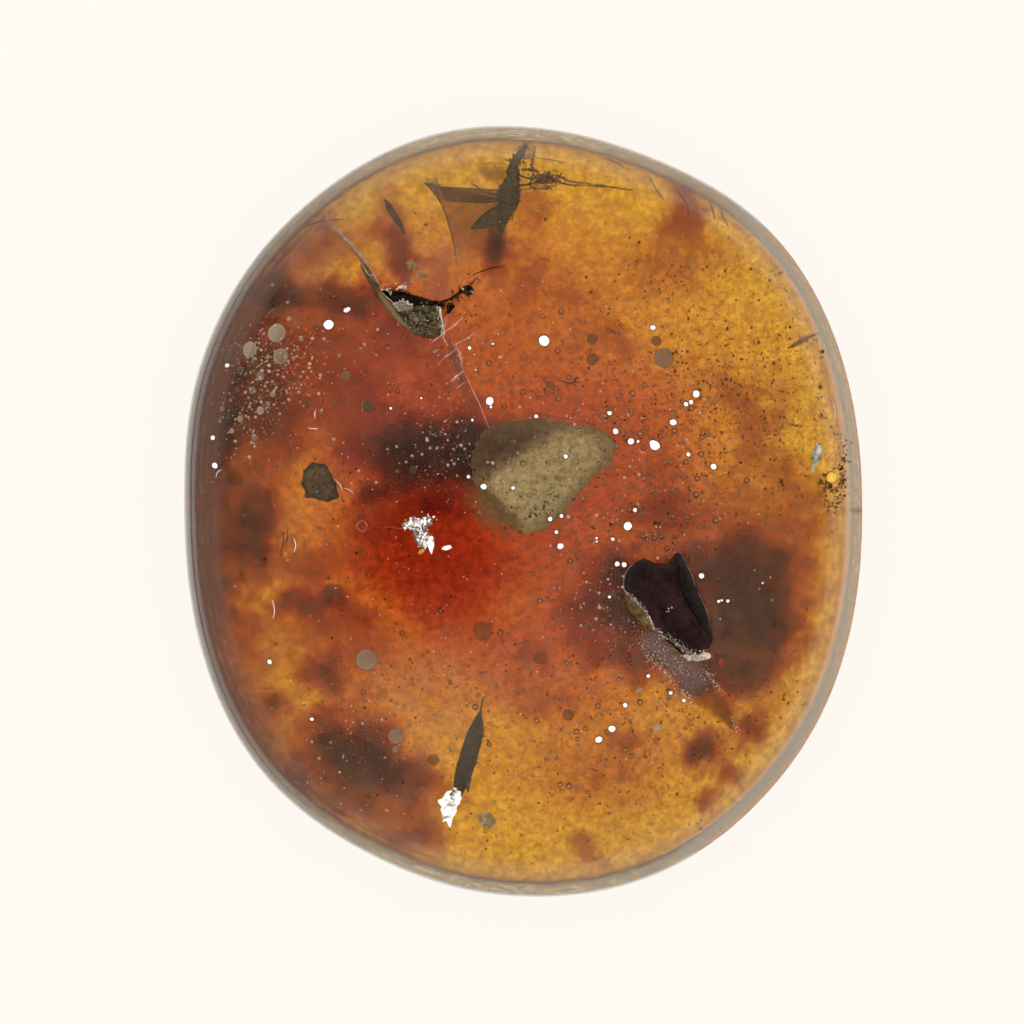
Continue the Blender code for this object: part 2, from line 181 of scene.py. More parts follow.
def sunk(x, y, drop=0.0, depth=None):
    """Places inside the amber that show at (x, y) from straight above.

    A ray falls on the dome at (x, y), bends towards the normal by Snell's law, and runs on until it meets
    the flow layer lowered by drop, or until it lies depth below the dome. Under the notch and the pit it
    stays covered.
    """
    x, y = np.asarray(x, float), np.asarray(y, float)
    top = dome_top(x, y)
    slope_x = (dome_top(x + SLOPE_STEP, y) - dome_top(x - SLOPE_STEP, y)) / (2 * SLOPE_STEP)
    slope_y = (dome_top(x, y + SLOPE_STEP) - dome_top(x, y - SLOPE_STEP)) / (2 * SLOPE_STEP)
    up = 1 / np.sqrt(1 + slope_x**2 + slope_y**2)
    ratio = 1 / AMBER_IOR
    lean = ratio * up - np.sqrt(1 - ratio**2 * (1 - up**2))
    dx, dy, dz = -slope_x * up * lean, -slope_y * up * lean, up * lean - ratio
    if depth is not None:
        run = depth / -dz
    else:
        run = np.zeros_like(x)
        for _ in range(RAY_STEPS):
            goal = layer_height(share_at(x + run * dx, y + run * dy)) - drop
            run = np.maximum((goal - top) / dz, SHORTEST_RUN)
    x, y, z = x + run * dx, y + run * dy, top + run * dz
    covered = np.minimum(z, stone_top(x, y) - SKIN_DEPTH)
    return np.stack([x, y, np.where(hollow_depth(x, y) > 0, covered, z)], -1)


def ripple(places, size, seed, waves=24):
    """Smooth unevenness of about -1 to 1: sine waves of about one size, in random directions, added up."""
    chance = np.random.default_rng(seed)
    places = np.asarray(places, float)
    way = chance.normal(size=(waves, places.shape[-1]))
    way /= np.linalg.norm(way, axis=1, keepdims=True)
    pace = 2 * np.pi / (size * chance.uniform(0.6, 1.7, waves))
    start = chance.uniform(0, 2 * np.pi, waves)
    return np.sin(places @ (way * pace[:, None]).T + start).sum(-1) / math.sqrt(waves)


def patches(x, y, rows, seed, warp=0.35):
    """How strongly patches cover (x, y): soft-edged ovals with edges made uneven by shifting the places."""
    flat = np.stack([x, y], -1)
    x = x + warp * (ripple(flat, 2.2, seed) + 0.4 * ripple(flat, 0.7, seed + 1))
    y = y + warp * (ripple(flat, 2.2, seed + 2) + 0.4 * ripple(flat, 0.7, seed + 3))
    bare = np.ones_like(x)
    for px, py, half_long, half_wide, degrees, strength in rows:
        along, across = turned(x, y, (px, py), degrees)
        away = np.hypot(along / half_long, across / half_wide)
        bare = bare * (1 - strength * (1 - swell(away, 0.3, 1.7)))
    return 1 - bare


# ---------------------------------------------------------------- meshes, as (points, quads, triangles)
def disc_grid(half):
    """A square grid bent to a disc: how far out each point lies, from 0 to 1, and its direction."""
    steps = np.arange(-half, half + 1)
    u, v = np.meshgrid(steps, steps, indexing="ij")
    flat = np.abs(u) >= np.abs(v)
    ratio = np.where(flat, v / np.where(u == 0, 1, u), u / np.where(v == 0, 1, v)) * np.pi / 4
    turn = np.where(flat, ratio + np.pi * (u < 0), np.pi / 2 - ratio + np.pi * (v < 0))
    return np.maximum(np.abs(u), np.abs(v)), turn


def grid_quads(index):
    """The quads of a grid of point numbers."""
    return np.stack([index[:-1, :-1], index[1:, :-1], index[1:, 1:], index[:-1, 1:]], -1).reshape(-1, 4)


def border_loop(index):
    """The point numbers round a grid's border, in the direction that the grid's quads turn."""
    return np.concatenate([index[:-1, 0], index[-1, :-1], index[:0:-1, -1], index[0, :0:-1]])


def ring_quads(index):
    """The quads between closed rings of point numbers."""
    beside = np.roll(index, -1, 1)
    return np.stack([index[:-1], index[1:], beside[1:], beside[:-1]], -1).reshape(-1, 4)


def fan(tip, ring, turned_round=False):
    """The triangles between a point and a closed ring of point numbers."""
    rims = (np.roll(ring, -1), ring) if turned_round else (ring, np.roll(ring, -1))
    return np.stack([np.full(len(ring), tip), *rims], -1)


def pillow(top, low):
    """A closed shape between two grids of points, which share the top's border."""
    rows, cols = top.shape[:2]
    upper = np.arange(rows * cols).reshape(rows, cols)
    lower = upper.copy()
    lower[1:-1, 1:-1] = rows * cols + np.arange((rows - 2) * (cols - 2)).reshape(rows - 2, cols - 2)
    points = np.concatenate([top.reshape(-1, 3), low[1:-1, 1:-1].reshape(-1, 3)])
    return points, np.concatenate([grid_quads(upper), grid_quads(lower)[:, ::-1]]), np.zeros((0, 3), int)


def pillow_values(values):
    """Values on a pillow's top grid, repeated for its lower points."""
    return np.concatenate([values.ravel(), values[1:-1, 1:-1].ravel()])


def walked(path):
    """How far along a path each of its points lies."""
    return np.concatenate([[0], np.cumsum(np.linalg.norm(np.diff(path, axis=0), axis=1))])


def smooth_path(places, count):
    """A smooth curve through a few places, evenly spaced: cubic pieces with slopes from the neighbours."""
    places = np.asarray(places, float)
    slopes = np.gradient(places, axis=0)
    at = np.linspace(0, len(places) - 1, 12 * len(places))
    first = np.minimum(at.astype(int), len(places) - 2)
    t = (at - first)[:, None]
    a, b, sa, sb = places[first], places[first + 1], slopes[first], slopes[first + 1]
    curve = a * (1 + 2 * t) * (1 - t) ** 2 + sa * t * (1 - t) ** 2
    curve = curve + b * t**2 * (3 - 2 * t) + sb * t**2 * (t - 1)
    length = walked(curve[:, :3])
    want = np.linspace(0, length[-1], count)
    return np.stack([np.interp(want, length, column) for column in curve.T], -1)


def tube(path, radius, sides=8, flatness=1.0):
    """A round tube along a path, closed by a point at each end; flatness squeezes it upright."""
    path = np.asarray(path, float)
    radius = np.broadcast_to(radius, len(path))
    ahead = np.gradient(path, axis=0)
    ahead /= np.linalg.norm(ahead, axis=1, keepdims=True)
    side = np.cross(ahead, [0.0, 0.0, 1.0])
    side /= np.maximum(np.linalg.norm(side, axis=1, keepdims=True), 1e-6)
    up = np.cross(side, ahead)
    t = np.linspace(0, 2 * np.pi, sides, endpoint=False)[None, :, None]
    round_it = np.cos(t) * side[:, None] + np.sin(t) * up[:, None] * flatness
    skin = path[:, None] + round_it * radius[:, None, None]
    tips = path[[0, -1]] + ahead[[0, -1]] * radius[[0, -1], None] * np.array([[-0.6], [0.6]])
    index = np.arange(len(path) * sides).reshape(len(path), sides)
    ends = np.concatenate([fan(index.size, index[0]), fan(index.size + 1, index[-1], True)])
    return np.concatenate([skin.reshape(-1, 3), tips]), ring_quads(index), ends


def ball(rows=8, cols=12):
    """A ball of radius 1 from rings between two poles."""
    polar = np.linspace(0, np.pi, rows + 1)[1:-1, None]
    t = np.linspace(0, 2 * np.pi, cols, endpoint=False)[None]
    skin = np.stack([np.sin(polar) * np.cos(t), np.sin(polar) * np.sin(t), np.cos(polar) + 0 * t], -1)
    index = np.arange((rows - 1) * cols).reshape(rows - 1, cols)
    caps = np.concatenate([fan(index.size, index[0]), fan(index.size + 1, index[-1], True)])
    return np.concatenate([skin.reshape(-1, 3), [[0, 0, 1], [0, 0, -1]]]), ring_quads(index), caps


def lump(middle, half_size, degrees=0.0, unevenness=0.0, seed=0, rows=10, cols=16):
    """A ball stretched to three half sizes and turned, its surface pushed in and out by a ripple."""
    points, quads, triangles = ball(rows, cols)
    if unevenness:
        points = points * (1 + unevenness * ripple(points, 1.1, seed))[:, None]
    points = points * np.asarray(half_size, float)
    a = math.radians(degrees)
    spin = np.array([[math.cos(a), math.sin(a), 0], [-math.sin(a), math.cos(a), 0], [0, 0, 1]])
    return points @ spin + np.asarray(middle, float), quads, triangles


def scattered(shape, places, sizes, seed):
    """Copies of a small shape at many places, each stretched to its sizes and turned at random about Z."""
    points, quads, triangles = shape
    count = len(places)
    sizes = np.asarray(sizes, float).reshape(count, -1) * np.ones(3)
    a = np.random.default_rng(seed).uniform(0, 2 * np.pi, count)[:, None]
    x, y, z = points.T
    x, y, z = x * sizes[:, :1], y * sizes[:, 1:2], z * sizes[:, 2:]
    skin = np.stack([x * np.cos(a) - y * np.sin(a), x * np.sin(a) + y * np.cos(a), z], -1) + places[:, None]
    shift = (np.arange(count) * len(points))[:, None, None]
    return skin.reshape(-1, 3), (quads + shift).reshape(-1, 4), (triangles + shift).reshape(-1, 3)


def joined(shapes):
    """Several shapes as one."""
    starts = np.cumsum([0] + [len(shape[0]) for shape in shapes])
    points = np.concatenate([shape[0] for shape in shapes])
    quads = np.concatenate([shape[1].reshape(-1, 4) + start for shape, start in zip(shapes, starts)])
    triangles = np.concatenate([shape[2].reshape(-1, 3) + start for shape, start in zip(shapes, starts)])
    return points, quads, triangles


def turned_inside_out(shape):
    """The same shape with its faces turned round, as the wall of a hollow."""
    return shape[0], shape[1][:, ::-1], shape[2][:, ::-1]


def make_piece(name, shape, finish, values=None):
    """Puts a shape in millimetres into a mesh that rides on the stone, with values at its points."""
    points, quads, triangles = shape
    mesh = bpy.data.meshes.new(name)
    corners = np.concatenate([quads.ravel(), triangles.ravel()]).astype(np.int32)
    starts = np.concatenate([np.arange(len(quads)) * 4, len(quads) * 4 + np.arange(len(triangles)) * 3])
    mesh.vertices.add(len(points))
    mesh.vertices.foreach_set("co", (points * MM).astype(np.float32).ravel())
    mesh.loops.add(len(corners))
    mesh.loops.foreach_set("vertex_index", corners)
    mesh.polygons.add(len(starts))
    mesh.polygons.foreach_set("loop_start", starts.astype(np.int32))
    mesh.update(calc_edges=True)
    mesh.polygons.foreach_set("use_smooth", np.full(len(starts), True))
    mesh.validate()
    for key, array in (values or {}).items():
        layer = mesh.attributes.new(key, "FLOAT", "POINT")
        layer.data.foreach_set("value", np.asarray(array, np.float32))
    mesh.materials.append(finish)
    piece = bpy.data.objects.new(name, mesh)
    bpy.context.scene.collection.objects.link(piece)
    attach(piece, "root")
    return piece


# ---------------------------------------------------------------- materials
TIMES = {"operation": "MULTIPLY"}
PLUS = {"operation": "ADD"}
LESS = {"operation": "SUBTRACT"}


def linear(code):
    """An sRGB hex colour as linear red, green, blue, 1."""
    parts = np.array([int(code[i : i + 2], 16) for i in (1, 3, 5)]) / 255
    parts = np.where(parts <= 0.04045, parts / 12.92, ((parts + 0.055) / 1.055) ** 2.4)
    return (*parts.tolist(), 1.0)


def add(tree, kind, settings=None, *values, **named):
    """Adds a node, sets its properties and its ramp's stops, and fills inputs in order or by name.

    An input takes a number, a hex colour, a socket, a node for that node's first output in use, or the
    name of a value kept at the piece's points.
    """
    node = tree.nodes.new("ShaderNode" + kind)
    for key, value in (settings or {}).items():
        if key != "stops":
            setattr(node, key, value)
            continue
        bar = node.color_ramp.elements
        bar[0].position, bar[1].position = value[0][0], value[-1][0]
        for place, _ in value[1:-1]:
            bar.new(place)
        for mark, (_, code) in zip(bar, value):
            mark.color = linear(code)
    filled = list(zip(node.inputs, values))
    filled += [(node.inputs[key.replace("_", " ")], value) for key, value in named.items()]
    for socket, value in filled:
        if isinstance(value, str) and value[0] != "#":
            value = add(tree, "Attribute", {"attribute_name": value}).outputs["Fac"]
        if isinstance(value, bpy.types.Node):
            value = next(output for output in value.outputs if output.enabled)
        if isinstance(value, bpy.types.NodeSocket):
            tree.links.new(value, socket)
        else:
            socket.default_value = linear(value) if isinstance(value, str) else value
    return node


def new_material(name):
    """An empty node material and its tree."""
    made = bpy.data.materials.new(name)
    made.use_nodes = True
    made.node_tree.nodes.clear()
    return made, made.node_tree


def skin_over(made, cover, solid, **tint):
    """Finishes a see-through skin: it tints what lies behind, and solid stuff covers a share of it."""
    tree = made.node_tree
    clear = add(tree, "BsdfTransparent", **tint)
    mixed = add(tree, "MixShader", None, cover, clear, solid)
    add(tree, "OutputMaterial", Surface=mixed)
    return made


def grains(tree, size, detail=3.0, roughness=0.6):
    """Cloudy noise, its spots about size millimetres across, on the piece's own coordinates."""
    where = add(tree, "TexCoord").outputs["Object"]
    return add(tree, "TexNoise", Vector=where, Scale=1 / (size * MM), Detail=detail, Roughness=roughness)


# ---------------------------------------------------------------- the amber and its bubbles
TOP_RINGS = 120
CREASE_RING = 111
UNDER_RINGS = 14
AMBER_COLOUR = (0.985, 0.88, 0.45)
AMBER_DENSITY = 400.0
POLISH_WAVE = 0.006
FLANK_SATIN = 0.4
RIM_SATIN = 0.15

# Where air bubbles gather, as (x, y, spread, share of them)
BUBBLE_SWARMS = (
    (5.5, 3.6, 2.0, 0.26), (3.0, -1.0, 2.2, 0.14), (8.0, 1.4, 1.6, 0.08), (2.0, 6.5, 2.2, 0.1),
    (-4.5, 3.6, 1.5, 0.06), (-12.3, 6.8, 1.5, 0.1), (2.5, -9.5, 3.6, 0.14), (-2.0, -7.0, 3.0, 0.06),
    (4.4, -5.4, 0.9, 0.06),
)
BUBBLE_COUNT = 620
SWARM_REACH = 0.96

# The large bubble at the right rim, as (x, y, radius)
GOLD_BUBBLE = (15.1, 1.62, 0.34)


def polished_amber():
    """Amber, cut and polished: clear honey-yellow fossil resin, redder where thick, satin where ground."""
    made, tree = new_material("polished_amber")
    scuffs = add(tree, "Math", PLUS, add(tree, "Math", TIMES, grains(tree, 0.25), 0.3), 0.2)
    rough = add(tree, "Math", PLUS, add(tree, "Math", TIMES, "satin", scuffs), 0.015)
    clear = {"Base_Color": "#FFFFFF", "Transmission_Weight": 1.0, "IOR": AMBER_IOR}
    body = add(tree, "BsdfPrincipled", Roughness=rough, **clear)
    depth = add(tree, "VolumeAbsorption", Color=(*AMBER_COLOUR, 1), Density=AMBER_DENSITY)
    add(tree, "OutputMaterial", Surface=body, Volume=depth)
    return made


def even_shares():
    """Shares of the rim for the grid's rings, even along the dome's section, with a ring on the crease."""
    share = np.linspace(0, 1, 4001)
    steps = np.hypot(np.diff(share) * HALF_WIDTH, np.diff(dome_height(share)))
    length = np.concatenate([[0], np.cumsum(steps)])
    crease = 1 - FLANK_WIDTH / HALF_WIDTH
    at_crease = np.interp(crease, share, length)
    inner = np.interp(np.linspace(0, at_crease, CREASE_RING + 1), length, share)
    outer = np.interp(np.linspace(at_crease, length[-1], TOP_RINGS - CREASE_RING + 1), length, share)
    return inner / crease, (outer - crease) / (1 - crease)


def amber_shape():
    """The whole stone: a dome on a grid bent to the oval, then rings round the rim and under to the flat."""
    ring, turn = disc_grid(TOP_RINGS)
    radius = rim_radius(turn)
    crease = 1 - FLANK_WIDTH / radius
    inner, outer = even_shares()
    near = crease * inner[np.minimum(ring, CREASE_RING)]
    far = crease + (1 - crease) * outer[np.maximum(ring - CREASE_RING, 0)]
    share = np.where(ring <= CREASE_RING, near, far)
    x, y = share * radius * np.cos(turn), share * radius * np.sin(turn)
    wave = POLISH_WAVE * ripple(np.stack([x, y], -1), 3.0, 5) * (1 - share**8)
    z = np.where(ring == TOP_RINGS, RIM_HEIGHT, stone_top(x, y) + wave)
    index = np.arange(z.size).reshape(z.shape)
    loop = border_loop(index)

    polar = np.linspace(np.pi / 2, 0, UNDER_RINGS + 1)[1:, None]
    spread = UNDERSIDE_SHARE + (1 - UNDERSIDE_SHARE) * np.sin(polar)
    under_x, under_y = spread * x.ravel()[loop], spread * y.ravel()[loop]
    under_z = RIM_HEIGHT * (1 - np.cos(polar)) + 0 * under_x
    under = np.stack([under_x, under_y, under_z], -1).reshape(-1, 3)
    rings = np.concatenate([loop[None], z.size + np.arange(under_x.size).reshape(under_x.shape)])
    points = np.concatenate([np.stack([x, y, z], -1).reshape(-1, 3), under, [[0, 0, 0]]])
    quads = np.concatenate([grid_quads(index), ring_quads(rings)])
    ground = flank_weight(turn) * swell(share - crease, -0.004, 0.004)
    satin = np.maximum(FLANK_SATIN * ground, RIM_SATIN * swell(share, 0.95, 1.0)).ravel()
    satin = np.concatenate([satin, np.full(len(under) + 1, RIM_SATIN)])
    return (points, quads, fan(len(points) - 1, rings[-1], True)), satin


def swarm(rows, count, seed):
    """Random (x, y) places in swarms, each a round cloud of places; those close to the rim are dropped."""
    chance = np.random.default_rng(seed)
    total = sum(row[3] for row in rows)
    clouds = []
    for x, y, spread, part in rows:
        clouds.append(chance.normal(size=(int(count * part / total), 2)) * spread + (x, y))
    places = np.concatenate(clouds)
    return places[share_at(*places.T) < SWARM_REACH]


def mostly_small(chance, count, smallest, growth, power):
    """Sizes that are mostly small: smallest + growth * chance^power."""
    return smallest + growth * chance.random((count, 1)) ** power


def air_bubbles():
    """Round air bubbles as hollows in the amber, each in its place under the dome, faces turned inward."""
    places = swarm(BUBBLE_SWARMS, BUBBLE_COUNT, 71)
    places = np.concatenate([places[hollow_depth(*places.T) == 0], [GOLD_BUBBLE[:2]]])
    chance = np.random.default_rng(72)
    spots = sunk(*places.T, depth=chance.uniform(0.45, 1.2, len(places)))
    sizes = mostly_small(chance, len(places), 0.05, 0.14, 2.2)
    sizes[-1] = GOLD_BUBBLE[2]
    return turned_inside_out(scattered(ball(6, 8), spots, sizes, 73))


stone, satin = amber_shape()
bubbles = air_bubbles()
stone = joined([stone, bubbles])
satin = np.concatenate([satin, np.zeros(len(bubbles[0]))])
amber = make_piece("amber", stone, polished_amber(), {"satin": satin})
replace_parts(amber, "amber_lower", "amber_upper")


# ---------------------------------------------------------------- stains in the amber
FILM_RINGS = 54
FILM_THICKNESS = 0.04
FILM_SPOT = 0.8
FILM_DUST_SHARE = 0.2
FILM_REACH = 0.985
BROWN_FILM_DROP = 0.8
HAZE_FILM_DEPTH = 0.3

# Brown clouds, and two painted shadows, one under the crust in the notch and one below the insect, as (x, y,
# half length, half width, degrees, strength)
BROWN_CLOUDS_AND_SHADOWS = (
    (-13.3, 9.8, 2.6, 1.5, 50, 0.65), (-15.7, -4.5, 0.9, 3.5, 8, 0.55), (-13.9, -9.5, 0.8, 2.6, 25, 0.45),
    (-12.6, 3.0, 1.5, 4.5, 0, 0.3), (11.0, 0.0, 2.5, 1.5, 0, 0.3), (13.6, -0.5, 1.6, 1.5, 0, 0.32),
    (-9.2, 5.3, 2.4, 1.7, 0, 0.4), (-12.5, 3.4, 1.2, 1.5, 0, 0.3), (-13.0, -6.4, 1.5, 1.8, 0, 0.28),
    (-9.0, -6.6, 2.4, 1.5, 0, 0.33), (-9.6, -2.4, 2.2, 1.3, 0, 0.16), (11.6, -8.8, 1.5, 1.2, 0, 0.3),
    (3.9, -12.9, 3.0, 2.0, 0, 0.2), (-11.2, -11.0, 1.6, 1.6, 0, 0.25), (-4.2, 11.2, 0.5, 1.6, -15, 0.25),
    (0.4, 15.0, 1.0, 0.8, 0, 0.3), (0.2, 12.8, 0.9, 1.0, 0, 0.2), (-1.9, 1.9, 0.8, 1.2, 0, 0.6),
    (7.0, 1.8, 1.0, 0.8, 0, 0.2), (12.9, 1.9, 1.6, 0.8, -25, 0.35), (11.3, 3.9, 0.9, 1.0, 0, 0.2),
    (-4.5, -16.0, 0.8, 0.9, 0, 0.4), (-10.8, 8.4, 1.4, 0.9, 0, 0.2), (-15.0, -1.2, 0.9, 1.8, 0, 0.4),
    (-10.8, -4.9, 1.2, 1.0, 0, 0.3), (-13.0, -9.3, 1.0, 1.6, 20, 0.25), (-8.6, -9.3, 1.5, 0.8, 0, 0.2),
    (2.6, -4.9, 1.2, 1.0, 0, 0.2), (5.0, -2.7, 1.3, 0.9, 0, 0.2), (9.2, -12.0, 1.2, 0.9, 0, 0.25),
    (-9.6, 12.9, 2.0, 0.9, 10, 0.35), (-6.3, 14.3, 0.6, 1.3, 25, 0.4), (-12.9, 6.0, 1.7, 2.2, 0, 0.62),
    (-6.3, 8.4, 1.2, 0.9, 0, 0.25), (6.8, -0.3, 1.9, 1.1, 0, 0.5), (-10.8, -2.9, 1.4, 1.0, 0, 0.35),
    (-8.4, -5.0, 1.3, 0.8, 0, 0.35), (-7.4, -0.5, 1.9, 0.9, 0, 0.3), (4.3, -7.1, 2.0, 0.9, -20, 0.55),
    (2.6, -5.2, 1.0, 0.8, 0, 0.3), (0.6, -9.4, 1.6, 0.9, 0, 0.25), (-5.4, -15.4, 0.8, 1.5, 0, 0.4),
    (-9.9, -12.9, 1.6, 1.5, 0, 0.4), (-10.6, 13.2, 1.6, 1.0, 30, 0.25), (2.5, 10.6, 1.0, 0.8, 0, 0.25),
    (4.8, 8.4, 1.0, 0.8, 0, 0.2), (13.6, -4.9, 0.8, 0.8, 0, 0.25), (0.4, -7.1, 1.0, 0.8, 0, 0.25),
    (-4.2, 6.6, 0.9, 1.2, 0, 0.2), (-13.4, -2.4, 0.8, 1.5, 0, 0.45), (-3.7, 0.5, 1.6, 0.9, 0, 0.5),
    (-15.9, 0.5, 0.6, 3.5, 0, 0.5), (-15.0, 6.2, 1.3, 3.2, 10, 0.75), (-15.3, 3.4, 1.1, 2.4, 0, 0.8),
    (-14.4, 0.2, 1.8, 2.4, 0, 0.5), (-13.1, -0.9, 0.8, 1.9, 5, 0.55), (-14.6, -3.6, 1.2, 2.2, -10, 0.45),
    (-13.9, -5.8, 0.7, 1.6, 10, 0.35), (-9.5, 10.4, 3.8, 0.9, -4, 0.7), (-12.2, 10.9, 1.2, 0.7, 15, 0.6),
    # The first row here is a painted shadow under the crust in the notch
    (-5.9, 9.3, 1.6, 0.9, -10, 0.4), (-10.3, 8.0, 3.4, 1.5, -10, 0.42), (-6.3, 13.0, 1.7, 0.6, -38, 0.6),
    # The second row here is the insect's painted shadow, below its abdomen
    (-5.6, 12.1, 0.7, 0.5, 0, 0.4), (-1.4, 12.9, 0.7, 1.3, 5, 0.55), (0.3, 11.0, 0.7, 1.3, -20, 0.3),
    (8.1, 14.8, 0.7, 1.4, 12, 0.55), (7.2, 13.9, 0.6, 0.6, 0, 0.4), (8.3, 12.6, 1.8, 1.4, 0, 0.22),
    (6.4, 12.0, 1.6, 1.4, 0, 0.18), (3.4, 8.6, 1.6, 1.0, 0, 0.18), (11.5, 4.2, 1.0, 2.4, -22, 0.2),
    (10.3, 5.8, 1.5, 0.9, -30, 0.3), (12.9, -1.9, 2.0, 1.0, 0, 0.1), (11.0, -4.7, 2.7, 3.0, 0, 0.9),
    (5.3, -4.4, 2.4, 1.8, -25, 0.85), (7.2, -6.2, 2.6, 1.9, -35, 0.6), (7.6, -3.0, 2.6, 1.2, 0, 0.7),
    (9.8, -8.0, 2.2, 1.0, 10, 0.6), (12.4, -6.4, 1.2, 1.2, 0, 0.28), (11.5, -2.2, 2.5, 0.9, -10, 0.5),
    (-4.9, 2.9, 2.9, 1.5, -6, 0.95), (-2.6, 3.5, 1.3, 1.4, 0, 0.8), (-7.2, 0.6, 1.0, 0.7, 0, 0.6),
    (-5.3, 1.5, 1.9, 0.8, 15, 0.6), (-8.2, 2.6, 1.4, 0.9, 20, 0.35), (-11.0, -4.6, 1.5, 0.7, 10, 0.45),
    (-9.2, -4.3, 0.7, 0.6, 0, 0.45), (-9.9, -8.1, 1.4, 0.8, 0, 0.55), (-12.0, -9.5, 0.7, 0.6, 0, 0.5),
    (-8.0, -12.1, 2.6, 1.8, -25, 0.85), (-5.7, -13.4, 2.0, 1.1, -15, 0.55),
    (-9.3, -10.9, 1.2, 0.8, 0, 0.5), (-7.6, -14.9, 1.6, 0.9, -30, 0.5), (-11.3, -13.3, 0.7, 0.5, 0, 0.65),
    (-5.8, -16.1, 1.0, 0.7, -20, 0.35), (8.7, -11.5, 0.8, 0.9, 0, 0.7), (9.9, -13.0, 0.6, 0.5, 0, 0.5),
    (11.0, -10.9, 0.8, 0.7, 0, 0.6), (9.0, -14.3, 0.6, 0.4, -20, 0.5), (5.2, -11.4, 0.8, 0.5, 20, 0.4),
    (4.4, -13.1, 0.3, 0.5, 0, 0.4), (3.3, -16.8, 0.9, 0.5, -40, 0.4),
)

# Where the resin has gone red with age, as (x, y, half length, half width, half thickness, degrees, seed)
RED_STAINS = (
    (-2.0, 0.6, 12.0, 11.6, 1.1, 0, 3),
    (-4.5, -2.5, 5.6, 4.2, 1.2, -22, 8),
    (4.6, 1.0, 8.6, 7.6, 0.6, 20, 12),
    (1.5, -7.5, 6.0, 3.4, 0.6, 0, 33),
    (-8.0, 6.0, 7.0, 5.0, 0.6, 0, 21),
    (-1.5, 10.6, 9.0, 4.5, 0.4, 0, 27),
    (5.5, 7.8, 6.4, 5.4, 0.16, 0, 41),
    (3.5, -10.8, 7.0, 4.0, 0.2, 0, 45),
)
RED_STAIN_DROP = 1.2
STAIN_RINGS = 20
RED_COLOUR = (0.7, 0.0, 0.5)
RED_DENSITY = 640.0
RIM_BROWN = 0.2

# Pale haze close under the dome, as (x, y, half length, half width, degrees, strength)
PALE_HAZE = (
    (-9.9, 13.6, 3.6, 1.6, 38, 0.7), (-11.2, 12.6, 1.2, 0.8, 20, 0.5), (-3.0, 17.6, 4.0, 1.0, 12, 0.5),
    (-4.4, 12.6, 1.5, 2.4, 20, 0.5), (-4.6, -8.9, 3.0, 2.6, 0, 0.5), (-4.0, -11.4, 1.6, 1.5, 0, 0.5),
    (4.0, -16.3, 3.0, 1.2, 20, 0.4), (-3.6, 16.3, 1.8, 1.2, 0, 0.5), (-7.0, 14.2, 1.6, 2.0, 0, 0.4),
    (-12.5, -11.0, 2.0, 4.0, 35, 0.3), (-6.5, -15.0, 4.0, 2.0, -30, 0.45), (2.5, -9.0, 9.0, 5.0, 0, 0.2),
    (9.5, -4.5, 4.0, 3.0, 0, 0.25),
)


def resin_stain(name, colour, density):
    """A stain in the amber with no surface of its own: it only takes light away, so its edges are soft."""
    made, tree = new_material(name)
    depth = add(tree, "VolumeAbsorption", Color=(*colour, 1), Density=density)
    add(tree, "OutputMaterial", Surface=add(tree, "BsdfTransparent"), Volume=depth)
    return made


def stain_shape(middle_x, middle_y, half_long, half_wide, half_thick, degrees, seed):
    """A lens along the flow layer's underside: it thins out as (1 - r^3)^2, and its outline is wavy."""
    ring, turn = disc_grid(STAIN_RINGS)
    r = ring / STAIN_RINGS
    wave = 1 + 0.12 * ripple(np.stack([np.cos(turn), np.sin(turn)], -1), 1.4, seed)
    a = math.radians(degrees)
    along, across = half_long * r * wave * np.cos(turn), half_wide * r * wave * np.sin(turn)
    x = middle_x + along * math.cos(a) - across * math.sin(a)
    y = middle_y + along * math.sin(a) + across * math.cos(a)
    middle = layer_height(share_at(x, y)) - RED_STAIN_DROP
    thick = half_thick * (1 - r**3) ** 2
    return pillow(np.stack([x, y, middle + thick], -1), np.stack([x, y, middle - thick], -1))


def flow_film(name, key, tints, dust, contrast, mottle=None):
    """A film left between two flows of resin: it tints what shows through, and its dust scatters light."""
    made, tree = new_material(name)
    noise = grains(tree, FILM_SPOT, 6.0, 0.7)
    uneven = add(tree, "Math", TIMES, add(tree, "Math", LESS, noise, 0.5), contrast)
    patchy = add(tree, "Math", PLUS, uneven, 1.0)
    cover = add(tree, "Math", TIMES, key, patchy)
    tint = add(tree, "ValToRGB", {"stops": tints}, cover)
    if mottle:
        fine = add(tree, "ValToRGB", {"stops": MOTTLE_TINTS}, grains(tree, mottle, 7.0, 0.85))
        both = {"data_type": "RGBA", "blend_type": "MULTIPLY"}
        tint = add(tree, "Mix", both, Factor=1.0, A=tint, B=fine)
    colour = add(tree, "ValToRGB", {"stops": dust}, noise)
    solid = add(tree, "BsdfPrincipled", Base_Color=colour, Roughness=0.9, Specular_IOR_Level=0.0)
    return skin_over(made, add(tree, "Math", TIMES, cover, FILM_DUST_SHARE), solid, Color=tint)


def film_places():
    """The places of a film's grid, as seen from above, nearly out to the rim."""
    ring, turn = disc_grid(FILM_RINGS)
    share = FILM_REACH * ring / FILM_RINGS
    radius = share * rim_radius(turn)
    return share, radius * np.cos(turn), radius * np.sin(turn)


def film_shape(top):
    """A closed sheet as thin as a film, below a grid of points."""
    return pillow(top, top - [0, 0, FILM_THICKNESS])


CLOUD_TINTS = ((0.0, "#FFF3B4"), (0.5, "#E0AC78"), (1.0, "#7A4636"))
CLOUD_DUST = ((0.35, "#4A2C22"), (0.65, "#664432"))
HAZE_TINTS = ((0.0, "#FFFFFF"), (1.0, "#FAF4EC"))
HAZE_DUST = ((0.35, "#C6BDB2"), (0.65, "#DCD5CC"))
MOTTLE_TINTS = ((0.3, "#D6C4B4"), (0.6, "#FFFFFF"))
MOTTLE_SIZE = 0.45

